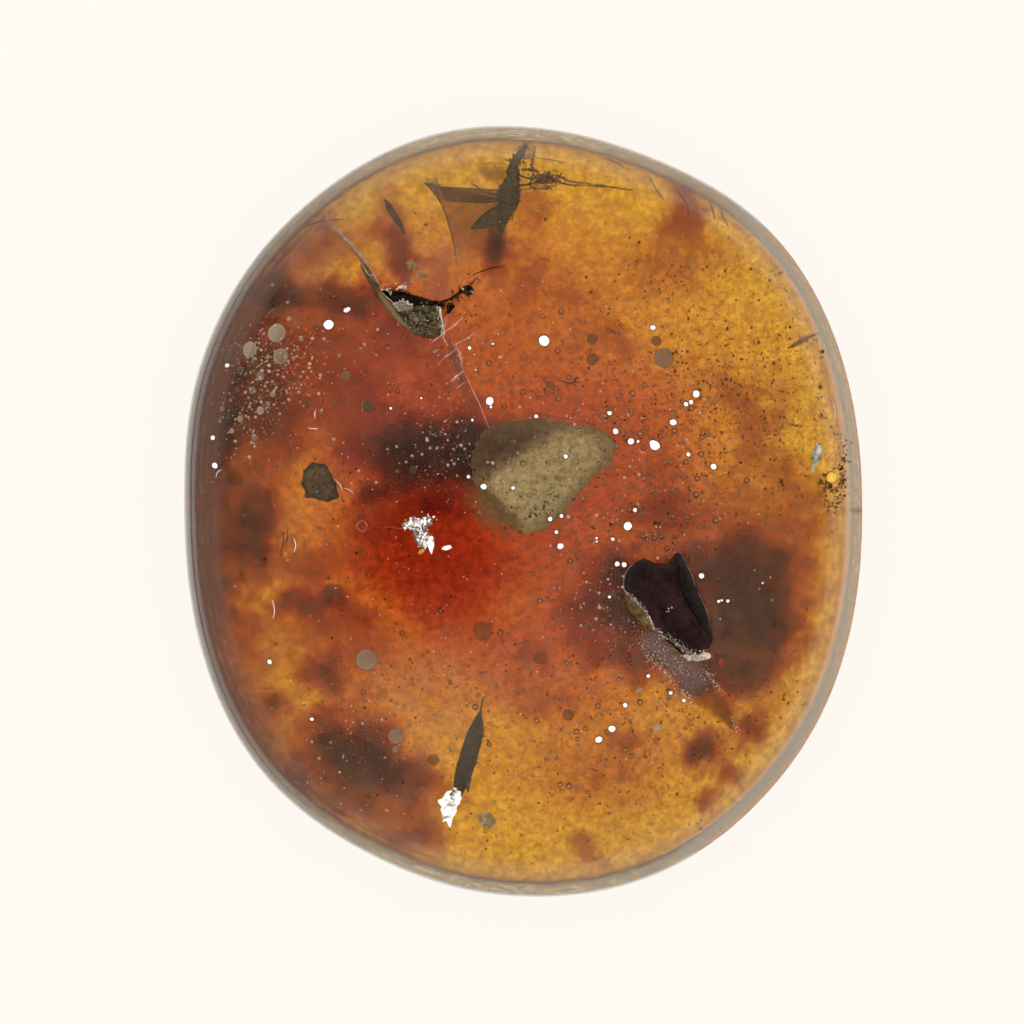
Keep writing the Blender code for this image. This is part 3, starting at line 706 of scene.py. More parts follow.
red = resin_stain("red_resin", RED_COLOUR, RED_DENSITY)
for number, stain in enumerate(RED_STAINS, 1):
    make_piece(f"red_stain_{number}", stain_shape(*stain), red)

# Both films are strongest where their rows say; the haze is thin over the clear red middle and the clouds
share, x, y = film_places()
# The cloud value holds the brown clouds and the two painted shadows among them
cloud = patches(x, y, BROWN_CLOUDS_AND_SHADOWS, 11, 0.3) + RIM_BROWN * swell(share, 0.92, 0.98)
brown = flow_film("brown_flow_film_and_shadows", "cloud", CLOUD_TINTS, CLOUD_DUST, 0.9, MOTTLE_SIZE)
brown_sheet = film_shape(sunk(x, y, BROWN_FILM_DROP))
make_piece("brown_film_and_shadows", brown_sheet, brown, {"cloud": pillow_values(cloud)})
outer = swell(np.hypot(x + 4.5, y + 2.5), 2, 7)
haze = (0.02 + 0.3 * outer + 0.45 * patches(x, y, PALE_HAZE, 31)) * (1 - 0.3 * cloud)
pale = flow_film("pale_haze_film", "haze", HAZE_TINTS, HAZE_DUST, 0.8)
pale_sheet = film_shape(sunk(x, y, depth=HAZE_FILM_DEPTH))
make_piece("haze_film", pale_sheet, pale, {"haze": pillow_values(haze)})


# ---------------------------------------------------------------- shapes made flat, then laid in the stone
def sink(shape, drop=0.0):
    """Lays a shape from a flat table onto the flow layer, where it shows in the same place from above."""
    points, quads, triangles = shape
    placed = sunk(points[:, 0], points[:, 1], drop)
    placed[:, 2] += points[:, 2]
    return placed, quads, triangles


def laid(shape, lift=0.0, height=stone_top):
    """Lays a shape from a flat table onto the outside of the stone, or at a height over it."""
    points, quads, triangles = shape
    x, y, z = points.T
    return np.column_stack([x, y, z + lift + height(x, y)]), quads, triangles


def limb(places, count=24, sides=8, flatness=1.0, beads=0.0, pace=0.2):
    """A smooth tube through (x, y, radius) places at height 0; beads swell it at an even pace."""
    path = smooth_path(places, count)
    radius = path[:, 2] * (1 + beads * np.sin(2 * np.pi * walked(path[:, :2]) / pace))
    return tube(np.column_stack([path[:, :2], np.zeros(count)]), radius, sides, flatness)


def hair(places, radius):
    """A thin thread through (x, y) places, tapering to its ends."""
    path = smooth_path(places, 6 * len(places))
    taper = radius * (0.35 + 0.65 * np.sin(np.linspace(0.15, np.pi - 0.15, len(path))))
    return tube(np.column_stack([path, np.zeros(len(path))]), taper, 5)


def hairs(lines, radius):
    """A list of threads of one thickness."""
    return [hair(line, radius) for line in lines]


def outline_grid(outline, rings, jag, seed):
    """A disc's grid stretched to an outline that is seen whole from its middle, with a jagged edge."""
    ring, turn = disc_grid(rings)
    corners = np.asarray(outline, float)
    middle = corners.mean(0)
    corners = corners - middle
    step = np.linspace(0, 1, 10, endpoint=False)[None, :, None]
    edge = (corners[:, None] * (1 - step) + np.roll(corners, -1, 0)[:, None] * step).reshape(-1, 2)
    angle = np.arctan2(edge[:, 1], edge[:, 0])
    order = np.argsort(angle)
    reach = np.interp(turn, angle[order], np.hypot(edge[:, 0], edge[:, 1])[order], period=2 * np.pi)
    share = ring / rings
    far = np.stack([reach * np.cos(turn), reach * np.sin(turn)], -1)
    reach = reach * share * (1 + jag * share**3 * ripple(far, 0.45, seed))
    return share, middle[0] + reach * np.cos(turn), middle[1] + reach * np.sin(turn)


def flake(outline, thickness, rings=24, jag=0.06, lumps=0.25, grain=0.8, edge=5.0, seed=0):
    """A flake of an outline: two uneven faces that bulge as 1 - r^edge; "edge" is 1 at the outline."""
    share, x, y = outline_grid(outline, rings, jag, seed)
    places = np.stack([x, y], -1)
    bulge = thickness / 2 * (1 - share**edge)
    faces = []
    for sign, near in ((1, seed + 1), (-1, seed + 2)):
        uneven = ripple(places, grain, near) + 0.5 * ripple(places, grain / 3, near + 9)
        faces.append(np.stack([x, y, sign * bulge * (1 + lumps * uneven)], -1))
    return pillow(*faces), {"edge": pillow_values(share)}


def band(edge_a, edge_b, thickness, rows=40, cols=10, lumps=0.0, seed=0):
    """A closed strip between two edges, thickest in its middle.

    Its values are "along", from end to end, and "edge", which is 1 at its border.
    """
    a, b = smooth_path(edge_a, rows), smooth_path(edge_b, rows)
    loop = np.concatenate([a, b[::-1]])
    after = np.roll(loop, -1, 0)
    if (loop[:, 0] * after[:, 1] - after[:, 0] * loop[:, 1]).sum() < 0:
        a, b = b, a
    across = np.linspace(0, 1, cols)
    flat = a[:, None] * (1 - across)[None, :, None] + b[:, None] * across[None, :, None]
    ends = np.sin(np.linspace(0, np.pi, rows))[:, None] ** 0.4
    half = thickness / 2 * np.sin(np.pi * across)[None] ** 0.6 * ends * (1 + lumps * ripple(flat, 0.5, seed))
    faces = [np.concatenate([flat, sign * half[..., None]], -1) for sign in (1, -1)]
    far = np.linspace(0, 1, rows)[:, None] + 0 * half
    edge = np.maximum(np.abs(2 * across - 1)[None], np.abs(2 * far - 1) ** 3)
    return pillow(*faces), {"along": pillow_values(far), "edge": pillow_values(edge)}


def grit(places, low, high, seed):
    """Small grains at (x, y, z) places, their radii between low and high."""
    chance = np.random.default_rng(seed)
    sizes = low + (high - low) * chance.random((len(places), 1)) ** 2
    stretch = chance.uniform(0.7, 1.3, (len(places), 3))
    return scattered(lump((0, 0, 0), (1, 1, 1), 0, 0.25, seed, 4, 6), places, sizes * stretch, seed)


def along(places, count, spread, seed):
    """Random (x, y, 0) places beside a path, within a spread of it."""
    chance = np.random.default_rng(seed)
    path = smooth_path(places, count)[:, :2]
    return np.column_stack([path + chance.normal(size=(count, 2)) * spread, np.zeros(count)])


def strewn(rows, place_seed, grain_seed):
    """Grains beside paths, for rows of (path, count, spread, smallest radius, largest radius)."""
    heaps = []
    for number, (path, count, spread, low, high) in enumerate(rows):
        heaps.append(grit(along(path, count, spread, place_seed + number), low, high, grain_seed + number))
    return heaps


def mineral(name, stops, spot, bump=0.3, roughness=0.8, specular=0.3, edges=None):
    """A solid, grainy stuff: colours laid out by cloudy noise, a bump from it, and darker edges."""
    made, tree = new_material(name)
    noise = grains(tree, spot, 8.0, 0.75)
    colour = add(tree, "ValToRGB", {"stops": stops}, noise)
    if edges:
        start, dark = edges
        mask = add(tree, "MapRange", From_Min=start, From_Max=1.0, Value="edge")
        colour = add(tree, "Mix", {"data_type": "RGBA"}, Factor=mask, A=colour, B=dark)
    relief = add(tree, "Bump", Strength=bump, Distance=spot * MM * 0.5, Height=noise)
    shine = {"Roughness": roughness, "Specular_IOR_Level": specular}
    solid = add(tree, "BsdfPrincipled", Base_Color=colour, Normal=relief, **shine)
    add(tree, "OutputMaterial", Surface=solid)
    return made


def tinted_film(name, tint, dust, share, spot, fade=None, soft=0.0):
    """A thin see-through skin: it tints what lies behind, and a share of it is dust that catches the light.

    It can fade out along its length, and within a soft share of its border.
    """
    made, tree = new_material(name)
    patchy = add(tree, "MapRange", From_Min=0.3, From_Max=0.7, Value=grains(tree, spot, 5.0, 0.7))
    strength = add(tree, "Math", PLUS, add(tree, "Math", TIMES, patchy, 0.5), 0.6)
    worn = [("along", *fade)] if fade else []
    worn += [("edge", 1.0 - soft, 1.0)] if soft else []
    for key, start, end in worn:
        left = {"From_Min": start, "From_Max": end, "To_Min": 1.0, "To_Max": 0.0}
        left = add(tree, "MapRange", Value=key, **left)
        strength = add(tree, "Math", TIMES, strength, left)
    behind = add(tree, "ValToRGB", {"stops": ((0.0, "#FFFFFF"), (0.85, tint))}, strength)
    solid = add(tree, "BsdfPrincipled", Base_Color=dust, Roughness=0.7, Specular_IOR_Level=0.2)
    return skin_over(made, add(tree, "Math", TIMES, strength, share), solid, Color=behind)


# ---------------------------------------------------------------- the insect
SNOUT = ((0.12, 17.95, 0.08), (-0.08, 17.6, 0.15), (-0.4, 17.2, 0.19), (-0.5, 16.8, 0.24))
HEAD = ((-0.5, 16.95, 0.16), (-0.52, 16.7, 0.33), (-0.5, 16.4, 0.3), (-0.5, 16.2, 0.26))
THORAX = (
    (-0.45, 16.45, 0.26), (-0.6, 16.0, 0.45), (-0.72, 15.55, 0.58), (-0.78, 15.1, 0.48),
    (-0.85, 14.75, 0.32),
)
ABDOMEN = (
    (-0.8, 15.0, 0.34), (-0.92, 14.6, 0.38), (-1.05, 14.2, 0.3), (-1.15, 13.8, 0.2), (-1.2, 13.5, 0.05),
)
POINTED_WING_TOP = ((-0.8, 15.15), (-1.4, 14.92), (-2.05, 14.5), (-2.62, 13.85))
POINTED_WING_LOW = ((-0.85, 14.3), (-1.3, 14.02), (-1.9, 13.82), (-2.58, 13.8))
LONG_WING_TOP = ((-1.05, 15.72), (-2.2, 15.76), (-3.3, 15.82), (-4.15, 15.86))
LONG_WING_LOW = ((-1.05, 15.2), (-1.9, 15.1), (-2.8, 15.14), (-3.8, 15.2))
UPPER_WING_TOP = ((-0.75, 17.02), (-1.3, 17.06), (-1.9, 17.02), (-2.4, 17.0))
UPPER_WING_LOW = ((-0.85, 16.0), (-1.3, 15.95), (-1.8, 16.1), (-2.15, 16.4))
TRAIL_LEFT = ((-4.85, 16.12), (-4.3, 15.5), (-4.0, 15.0), (-3.72, 14.2), (-3.45, 13.2), (-3.25, 12.0))
TRAIL_RIGHT = ((-1.2, 15.3), (-1.1, 14.9), (-1.3, 14.5), (-1.5, 13.9), (-1.7, 13.0), (-1.9, 12.0))
BLOB = ((0.6, 16.36), (0.85, 16.5), (1.25, 16.48), (1.6, 16.3), (1.4, 16.15), (1.1, 16.08), (0.75, 16.15))

# Legs, feelers and threads, as (x, y, radius)
LEGS = (
    (
        (-2.58, 16.08, 0.025), (-2.2, 15.83, 0.05), (-1.9, 15.6, 0.045), (-1.45, 15.5, 0.06), (-1.0, 15.5, 0.08),
    ),
    ((-1.95, 15.4, 0.03), (-1.6, 15.32, 0.05), (-1.2, 15.3, 0.06), (-0.9, 15.35, 0.07)),
    ((-1.85, 15.28, 0.02), (-1.5, 15.22, 0.035), (-1.1, 15.22, 0.05), (-0.9, 15.3, 0.05)),
    ((-0.2, 15.95, 0.07), (0.1, 15.98, 0.05), (0.45, 16.05, 0.05), (0.8, 16.15, 0.06)),
    ((-0.25, 15.3, 0.06), (-0.32, 14.9, 0.05), (-0.5, 14.6, 0.03), (-0.55, 14.2, 0.02)),
    ((-0.25, 16.5, 0.06), (0.05, 16.35, 0.05), (0.4, 16.3, 0.05), (0.7, 16.35, 0.05)),
)
BEADED = (
    ((0.57, 17.88, 0.02), (0.5, 17.5, 0.04), (0.45, 17.1, 0.045), (0.42, 16.9, 0.04), (0.55, 16.65, 0.04)),
    ((1.5, 16.3, 0.05), (1.8, 16.1, 0.045), (2.3, 15.98, 0.035), (3.1, 15.95, 0.025), (3.9, 15.87, 0.02)),
    (
        (1.6, 16.42, 0.04), (1.95, 16.32, 0.045), (2.25, 16.15, 0.035), (3.1, 16.05, 0.02), (3.9, 15.95, 0.015),
    ),
    ((3.6, 15.96, 0.02), (4.2, 15.88, 0.03), (4.8, 15.8, 0.03), (5.35, 15.73, 0.02)),
    ((-0.1, 16.72, 0.04), (0.15, 16.75, 0.05), (0.4, 16.68, 0.05), (0.75, 16.6, 0.05)),
)
THREADS = (
    ((0.5, 17.35), (1.4, 17.2), (2.2, 17.05)),
    ((0.3, 17.45), (0.1, 17.3), (-0.1, 17.35)),
    ((-1.05, 17.35), (-0.8, 17.2), (-0.55, 17.15)),
    ((-0.1, 17.9), (-0.35, 17.7), (-0.6, 17.6)),
    ((0.3, 16.0), (0.6, 15.8), (1.2, 15.85), (1.8, 16.0)),
    ((-0.2, 15.75), (0.2, 15.75), (0.6, 15.95)),
    ((-4.95, 16.15), (-4.6, 15.85), (-4.2, 15.45)),
    ((-4.75, 16.3), (-4.3, 16.15), (-4.05, 15.8)),
    ((-4.4, 16.35), (-4.25, 15.9), (-4.15, 15.5)),
    ((-4.9, 16.0), (-4.4, 15.95), (-3.95, 16.0)),
)
# The outline of the insect's painted shadow, a soft brown film below its abdomen
TAIL = (
    (-1.75, 13.9), (-0.9, 14.3), (-0.75, 13.5), (-0.85, 12.7), (-1.1, 12.0), (-1.5, 11.9), (-1.85, 12.5),
    (-1.85, 13.3),
)


# Crumbs on the body and heaps of beads beside it, as (path, count, spread, seed)
BODY_CRUMBS = (
    (SNOUT, 170, 0.14, 41),
    (HEAD, 80, 0.26, 42),
    (THORAX, 90, 0.36, 48),
    (((-0.8, 15.0), (-1.1, 14.3), (-1.3, 13.4)), 70, 0.28, 49),
    (((-4.7, 16.1), (-4.3, 15.9), (-4.1, 15.5)), 90, 0.14, 43),
    (((0.4, 16.3), (1.1, 16.3), (1.9, 16.3)), 130, 0.18, 44),
    (((0.2, 16.1), (0.8, 15.9), (1.5, 16.0)), 60, 0.15, 50),
)
BEAD_HEAPS = (
    (((0.6, 16.3), (1.1, 16.35), (1.6, 16.3)), 260, 0.2, 65),
    (((-0.6, 16.7), (-0.2, 17.2), (0.15, 17.8)), 170, 0.17, 67),
    (((0.35, 17.75), (0.38, 17.2), (0.42, 16.7)), 50, 0.06, 68),
    (((-0.9, 16.4), (-0.8, 15.6), (-1.1, 14.6)), 120, 0.3, 69),
)
VEINS = (
    (LONG_WING_TOP, 0.05),
    (LONG_WING_LOW, 0.045),
    (((-1.2, 15.45), (-2.3, 15.4), (-3.4, 15.5), (-4.05, 15.55)), 0.02),
    (((-1.2, 15.6), (-2.6, 15.62), (-3.9, 15.7)), 0.014),
    (((-3.35, 15.8), (-3.4, 15.5), (-3.45, 15.2)), 0.016),
    (((-0.9, 17.02), (-1.5, 17.05), (-2.35, 17.0)), 0.02),
    (TRAIL_LEFT, 0.035),
    (TRAIL_LEFT[:3], 0.05),
)

# Clear wings and the trail, as (name, edges, tint, share of dust, drop, where it fades, soft border)
WINGS = (
    ("long_wing", LONG_WING_TOP, LONG_WING_LOW, "#CCC0C8", 0.2, 0.0, None, 0.0),
    ("upper_wing", UPPER_WING_TOP, UPPER_WING_LOW, "#DCD2DC", 0.12, 0.0, None, 0.9),
    ("insect_trail", TRAIL_LEFT, TRAIL_RIGHT, "#D8CCD8", 0.08, 0.35, (0.6, 1.0), 0.0),
)


def chitin(name, dark, light):
    """An insect's skin, dried out: near black, brown where it is thin, with a faint waxy shine."""
    return mineral(name, ((0.42, dark), (0.6, light)), 0.2, 0.6, 0.5, 0.5)


def insect_shape():
    """The body as swollen, ringed tubes, with legs, feelers, crumbs and a stiff wing fused to it."""
    body = [
        limb(SNOUT, 20, 10, 0.8, 0.3, 0.16),
        limb(HEAD, 20, 14, 0.8, 0.06, 0.2),
        limb(THORAX, 40, 16, 0.75, 0.07, 0.3),
        limb(ABDOMEN, 50, 14, 0.7, 0.1, 0.2),
        band(POINTED_WING_TOP, POINTED_WING_LOW, 0.14, 30, 12, 0.2, 4)[0],
    ]
    body += [limb(leg, 18, 7, 0.9, 0.2, 0.15) for leg in LEGS]
    body += hairs(THREADS, 0.022)
    crumbs = [along(path, count, spread, seed) for path, count, spread, seed in BODY_CRUMBS]
    body.append(grit(np.concatenate(crumbs), 0.02, 0.06, 47))
    return sink(joined(body))


def beaded_threads():
    """Brown threads beside the body, drawn out into strings of beads."""
    threads = [limb(line, 90, 7, 1.0, 0.6, 0.15) for line in BEADED]
    beads = [along(line, 30, 0.03, 60 + number) for number, line in enumerate(BEADED)]
    beads += [along(path, count, spread, seed) for path, count, spread, seed in BEAD_HEAPS]
    knot = flake(BLOB, 0.3, 16, 0.3, 0.5, 0.25, 3.0, 6)[0]
    return sink(joined(threads + [knot, grit(np.concatenate(beads), 0.02, 0.05, 66)]))


def wing_veins():
    """The dark edges and veins of the clear wings, and the edge of the trail that the insect left."""
    return sink(joined([hair(line, radius) for line, radius in VEINS]))


# Stiff skin and veins; the wings are clear brown skins, dusty at this size
insect = make_piece("insect_body", insect_shape(), chitin("dry_chitin", "#16130E", "#5E4C38"))
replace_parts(insect, "insect")
make_piece("wing_veins", wing_veins(), chitin("wing_vein", "#3A2618", "#6A4630"))
make_piece("beaded_threads", beaded_threads(), chitin("brown_thread", "#4A2816", "#85532F"))
for name, top_edge, low_edge, tint, share, drop, fade, soft in WINGS:
    wing, values = band(top_edge, low_edge, 0.03, 40, 16, 0.3, 12)
    skin = tinted_film(name + "_skin", tint, "#7A5840", share, 0.25, fade, soft)
    make_piece(name, sink(wing, drop), skin, values)
# The insect's painted shadow: a soft brown film below its abdomen
tail = tinted_film("tail_skin", "#A8887C", "#5A3A28", 0.4, 0.4, None, 0.9)
shape, values = flake(TAIL, 0.12, 20, 0.04, 0.3, 0.4, 4.0, 13)
make_piece("insect_painted_shadow", sink(shape, 0.15), tail, values)


# ---------------------------------------------------------------- scraps of plants
LEAF = (
    (-1.98, -9.2, 0.03), (-2.1, -9.8, 0.06), (-2.22, -10.3, 0.22), (-2.45, -11.1, 0.38),
    (-2.72, -12.1, 0.42), (-2.95, -12.9, 0.4),
)
LEAF_RIGHT = ((-2.02, -10.3), (-2.05, -11.0), (-2.28, -12.0), (-2.6, -13.0), (-2.75, -13.7))
LEAF_LEFT = ((-2.5, -10.6), (-2.85, -11.3), (-3.15, -12.2), (-3.35, -13.0))
LEAF_END = ((-2.9, -12.7, 0.44), (-3.1, -13.4, 0.34), (-3.2, -13.95, 0.18))
TWIG = (
    (-6.8, 15.25, 0.05), (-6.6, 14.9, 0.16), (-6.3, 14.4, 0.17), (-6.0, 13.9, 0.12), (-5.85, 13.5, 0.05),
)
SLIVER_FLATNESS = 0.45
BARK = (
    (-1.95, 3.95), (-0.9, 4.35), (0.8, 4.5), (2.2, 4.3), (3.6, 4.05), (4.35, 3.6), (4.55, 3.0),
    (4.3, 2.35), (3.4, 1.65), (2.7, 0.8), (1.95, -0.1), (1.05, -0.95), (0.0, -1.2), (-1.0, -0.5),
    (-1.9, 0.4), (-2.5, 1.5), (-2.6, 2.7),
)
# The outline of the veil of painted shade over the bark's upper left
BARK_SHADE_VEIL = (
    (-3.7, 2.2), (-3.2, 3.9), (-1.2, 4.9), (1.6, 5.0), (2.6, 4.3), (1.2, 3.2), (-0.6, 2.0), (-2.2, 1.0),
    (-3.4, 1.2),
)
BARK_SKIRT = ((-3.2, 0.9), (-2.2, 1.6), (-1.0, 0.6), (0.2, -0.6), (-0.6, -1.6), (-2.2, -0.9))
BARK_PITS = (((0.2, -0.3), (0.8, 0.0), (1.2, 0.3), (1.6, 0.9)), 26, 0.14, 189)
CHIP = (
    (-10.9, 1.35), (-10.75, 2.0), (-10.35, 2.35), (-9.75, 2.3), (-9.45, 1.9), (-9.15, 1.3), (-9.05, 0.65),
    (-9.6, 0.45), (-10.1, 0.55), (-10.7, 0.7),
)
SILVER_FLAKE = (
    (-5.85, -0.75), (-5.55, -0.35), (-5.1, -0.45), (-4.75, -0.25), (-4.45, -0.55), (-4.75, -0.95),
    (-4.6, -1.4), (-4.95, -1.85), (-5.3, -1.5), (-5.45, -1.0),
)
SILVER_BLADE = ((-4.7, -1.3), (-4.42, -1.2), (-4.38, -1.65), (-4.5, -2.1), (-4.66, -1.9), (-4.76, -1.55))
LEAF_FOOT = (
    (-4.15, -14.2), (-3.75, -13.75), (-3.2, -13.5), (-3.05, -14.1), (-3.4, -14.9), (-3.6, -15.4),
    (-3.95, -15.25), (-4.05, -14.7),
)
SILVER_SHARD = ((-4.05, -1.9), (-3.9, -1.75), (-3.6, -1.7), (-3.5, -1.82), (-3.8, -1.95))
FLAKE_CORE = (
    (((-5.75, -0.72), (-5.4, -0.6), (-5.0, -0.6), (-4.6, -0.45)), 120),
    (((-5.2, -0.7), (-5.0, -1.2), (-4.8, -1.7)), 150),
)
FLAKE_LINE = ((-6.9, -0.85), (-6.5, -0.8), (-6.1, -0.88), (-5.8, -0.8))
SMALL_FLAKES = (
    ("beige_flake", ((-2.3, -15.0), (-1.8, -14.75), (-1.3, -15.1), (-1.45, -15.55), (-2.0, -15.5)), 0.12),
    ("green_chip", ((-5.75, 12.15), (-5.5, 12.3), (-5.2, 12.0), (-5.35, 11.8), (-5.65, 11.82)), 0.16),
    ("green_sliver", ((-5.3, 11.7), (-5.0, 11.68), (-4.5, 11.48), (-4.7, 11.38), (-5.15, 11.45)), 0.14),
)


def scrap(name, shape_and_values, finish, node=None, drop=0.0):
    """Puts a flake on the flow layer, and lets it stand for its CAD node."""
    shape, values = shape_and_values
    piece = make_piece(name, sink(shape, drop), finish, values)
    if node:
        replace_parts(piece, node)


# A rotted leaf: dark olive brown, ribbed along its length, dull
leaf_stuff = mineral("rotted_leaf", ((0.42, "#1C1812"), (0.6, "#463C2E")), 0.3, 0.8, 0.7)
frays = [along(LEAF_RIGHT, 150, 0.03, 55), along(LEAF_LEFT, 60, 0.03, 56)]
blade = limb(LEAF, 50, 16, SLIVER_FLATNESS, 0.03, 0.18)
leaf_shape = joined([blade, grit(np.concatenate(frays), 0.03, 0.08, 57)])
leaf = make_piece("leaf", sink(leaf_shape), leaf_stuff)
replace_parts(leaf, "leaf_sliver")
leaf_end = limb(LEAF_END, 20, 16, SLIVER_FLATNESS, 0.06, 0.22)
make_piece("leaf_end", sink(leaf_end), leaf_stuff)
twig_stuff = mineral("rotted_twig", ((0.42, "#33241A"), (0.6, "#7A583C")), 0.3, 0.8, 0.7)
twig = make_piece("twig", sink(limb(TWIG, 30, 12, 0.6, 0.12, 0.3)), twig_stuff)
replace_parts(twig, "plant_sliver")

# Bark: packed cork grains of beige and olive with black specks, darker along its broken edge
bark_tones = ((0.3, "#4E4230"), (0.4, "#B0A084"), (0.5, "#DCCEB0"), (0.64, "#FFF8EA"))
bark_stuff = mineral("crumbled_bark", bark_tones, 0.3, 0.6, 0.9, edges=(0.7, "#A89E84"))
scrap("bark", flake(BARK, 0.75, 48, 0.014, 0.12, 0.5, 7.0, 50), bark_stuff, "bark_flake")

# Films round the bark: a brown veil over its upper left, which is painted shade, and a paler skirt below
veil_skin = tinted_film("bark_veil_skin", "#D0B8A8", "#5A4232", 0.18, 0.5, None, 0.95)
scrap("bark_veil", flake(BARK_SHADE_VEIL, 0.1, 24, 0.08, 0.3, 0.4, 3.0, 59), veil_skin, drop=-0.5)
skirt_skin = tinted_film("bark_skirt_skin", "#D8C0A8", "#B49C78", 0.5, 0.3, None, 0.9)
scrap("bark_skirt", flake(BARK_SKIRT, 0.1, 20, 0.08, 0.3, 0.4, 3.0, 49), skirt_skin, drop=-0.3)

# A chip of charred wood: dark brown with a paler middle and a black rim
char_tones = ((0.38, "#2C2018"), (0.62, "#8A6A50"))
chip_stuff = mineral("charred_chip", char_tones, 0.4, 0.6, 0.6, edges=(0.75, "#0E0A08"))
scrap("chip", flake(CHIP, 0.7, 26, 0.05, 0.2, 0.4, 4.0, 51), chip_stuff, "dark_chip")

# A split in the resin that mirrors like foil, with smooth white skins beside it and a yellow crumb
silver_tones = ((0.36, "#4A4038"), (0.45, "#DCD6CC"), (0.52, "#FFFFFF"))
silver = mineral("silvery_skin", silver_tones, 0.14, 0.9, 0.35, 0.8)
crumb_stuff = mineral("yellow_crumb", ((0.4, "#6A4A10"), (0.6, "#C89A30")), 0.2, 0.4, 0.6)
skin_tones = ((0.4, "#4A3A2E"), (0.45, "#CFC6BC"), (0.52, "#FFFFFF"))
white_skin = mineral("white_skin", skin_tones, 0.6, 0.3, 0.5, 0.3)
silver_flake = flake(SILVER_FLAKE, 0.16, 30, 0.12, 0.6, 0.2, 3.0, 52)
scrap("silver_flake", silver_flake, silver, "pale_flake", -1.1)
white_skins = [
    flake(SILVER_SHARD, 0.08, 10, 0.1, 0.3, 0.2, 3.0, 58)[0],
    flake(LEAF_FOOT, 0.12, 30, 0.1, 0.5, 0.25, 3.0, 54)[0],
    flake(SILVER_BLADE, 0.08, 16, 0.1, 0.3, 0.3, 3.0, 53)[0],
]
make_piece("white_skins", laid(joined(white_skins), 0.03), white_skin)

core = [along(path, count, 0.16, 180 + count) for path, count in FLAKE_CORE]
make_piece("silver_glitter", laid(grit(np.concatenate(core), 0.02, 0.06, 183), 0.05), white_skin)
border = along(SILVER_FLAKE + SILVER_FLAKE[:1], 150, 0.03, 184)
soot_grains = [
    grit(border, 0.025, 0.05, 185),
    grit(along(*FLAKE_CORE[1], 0.2, 186), 0.02, 0.045, 187),
    hair(FLAKE_LINE, 0.02),
]
bark_grains = grit(along(*BARK_PITS), 0.03, 0.08, 190)
make_piece("bark_pits", sink(bark_grains, -0.42), chip_stuff)
make_piece("silver_soot", laid(joined(soot_grains), 0.03), chip_stuff)
crumb = lump((-5.0, -2.0, 0.03), (0.2, 0.12, 0.06), 40, 0.3, 188)
make_piece("yellow_crumb", laid(crumb), crumb_stuff)

crumb_tones = ((0.36, "#6A5A44"), (0.5, "#C8B898"), (0.62, "#FFFFFF"))
small_stuff = mineral("mixed_crumbs", crumb_tones, 0.3, 0.6, 0.6)
for number, (name, outline, thickness) in enumerate(SMALL_FLAKES):
    small = flake(outline, thickness, 14, 0.15, 0.4, 0.2, 3.0, 60 + number)
    scrap(name, small, small_stuff, drop=-0.6)


# ---------------------------------------------------------------- the crevice at the upper left
CRUST_EDGE = (
    (-6.35, 10.25), (-5.9, 10.2), (-5.4, 9.98), (-4.8, 10.02), (-4.15, 10.05), (-3.95, 9.3), (-3.9, 8.65),
    (-4.35, 8.4), (-5.15, 8.5), (-5.75, 8.85), (-6.3, 9.35), (-6.65, 9.85),
)
GREY_LUMP = (
    (-6.35, 10.2), (-5.9, 10.28), (-5.45, 10.1), (-5.38, 9.85), (-5.7, 9.72), (-6.15, 9.72), (-6.4, 9.95),
)
GAP_TOP = (
    (-7.05, 10.9), (-6.4, 10.8), (-5.9, 10.88), (-5.5, 10.65), (-5.0, 10.58), (-4.6, 10.34), (-4.1, 10.32),
    (-3.7, 10.15),
)
GAP_LOW = (
    (-7.0, 10.65), (-6.45, 10.25), (-6.0, 10.0), (-5.5, 9.95), (-5.1, 9.85), (-4.5, 9.9), (-4.0, 9.9),
    (-3.7, 9.75),
)
OLIVE_TOP = (
    (-8.0, 12.25), (-7.6, 11.68), (-7.2, 11.2), (-6.95, 10.75), (-6.45, 10.2), (-6.2, 9.8), (-5.9, 9.4),
    (-5.4, 8.95),
)
OLIVE_LOW = (
    (-8.05, 12.1), (-7.8, 11.5), (-7.4, 10.85), (-7.0, 10.2), (-6.7, 9.75), (-6.35, 9.3), (-5.95, 9.0),
    (-5.3, 8.5),
)
WEDGE_TOP = ((-8.3, 12.95), (-7.9, 12.4), (-7.65, 12.0), (-7.35, 11.6), (-7.15, 11.25), (-7.0, 10.95))
WEDGE_LOW = ((-8.4, 12.85), (-7.95, 12.1), (-7.65, 11.6), (-7.4, 11.2), (-7.2, 11.0), (-7.02, 10.85))
RIDGE = (
    (-9.7, 14.45), (-9.3, 14.02), (-8.8, 13.5), (-8.3, 12.98), (-7.95, 12.6), (-7.7, 12.25),
    (-7.45, 11.95),
)
RIDGE_SIDE = (
    (-9.75, 14.4), (-9.36, 13.94), (-8.9, 13.4), (-8.42, 12.88), (-8.1, 12.48), (-7.82, 12.15),
    (-7.5, 11.9),
)
CRACK_LEFT = ((-3.95, 8.7), (-3.75, 8.1), (-3.7, 7.4), (-3.35, 6.6), (-3.1, 5.6), (-2.75, 4.6), (-2.5, 3.9))
CRACK_RIGHT = (
    (-3.8, 8.75), (-3.3, 8.05), (-3.05, 7.4), (-2.85, 6.75), (-2.5, 5.95), (-2.15, 5.2), (-1.65, 4.0),
)
STREAK_LEFT = ((-4.12, 9.97), (-4.07, 9.5), (-3.97, 9.1), (-3.9, 8.62))
STREAK_RIGHT = ((-4.05, 9.95), (-4.0, 9.5), (-3.92, 9.1), (-3.86, 8.62))
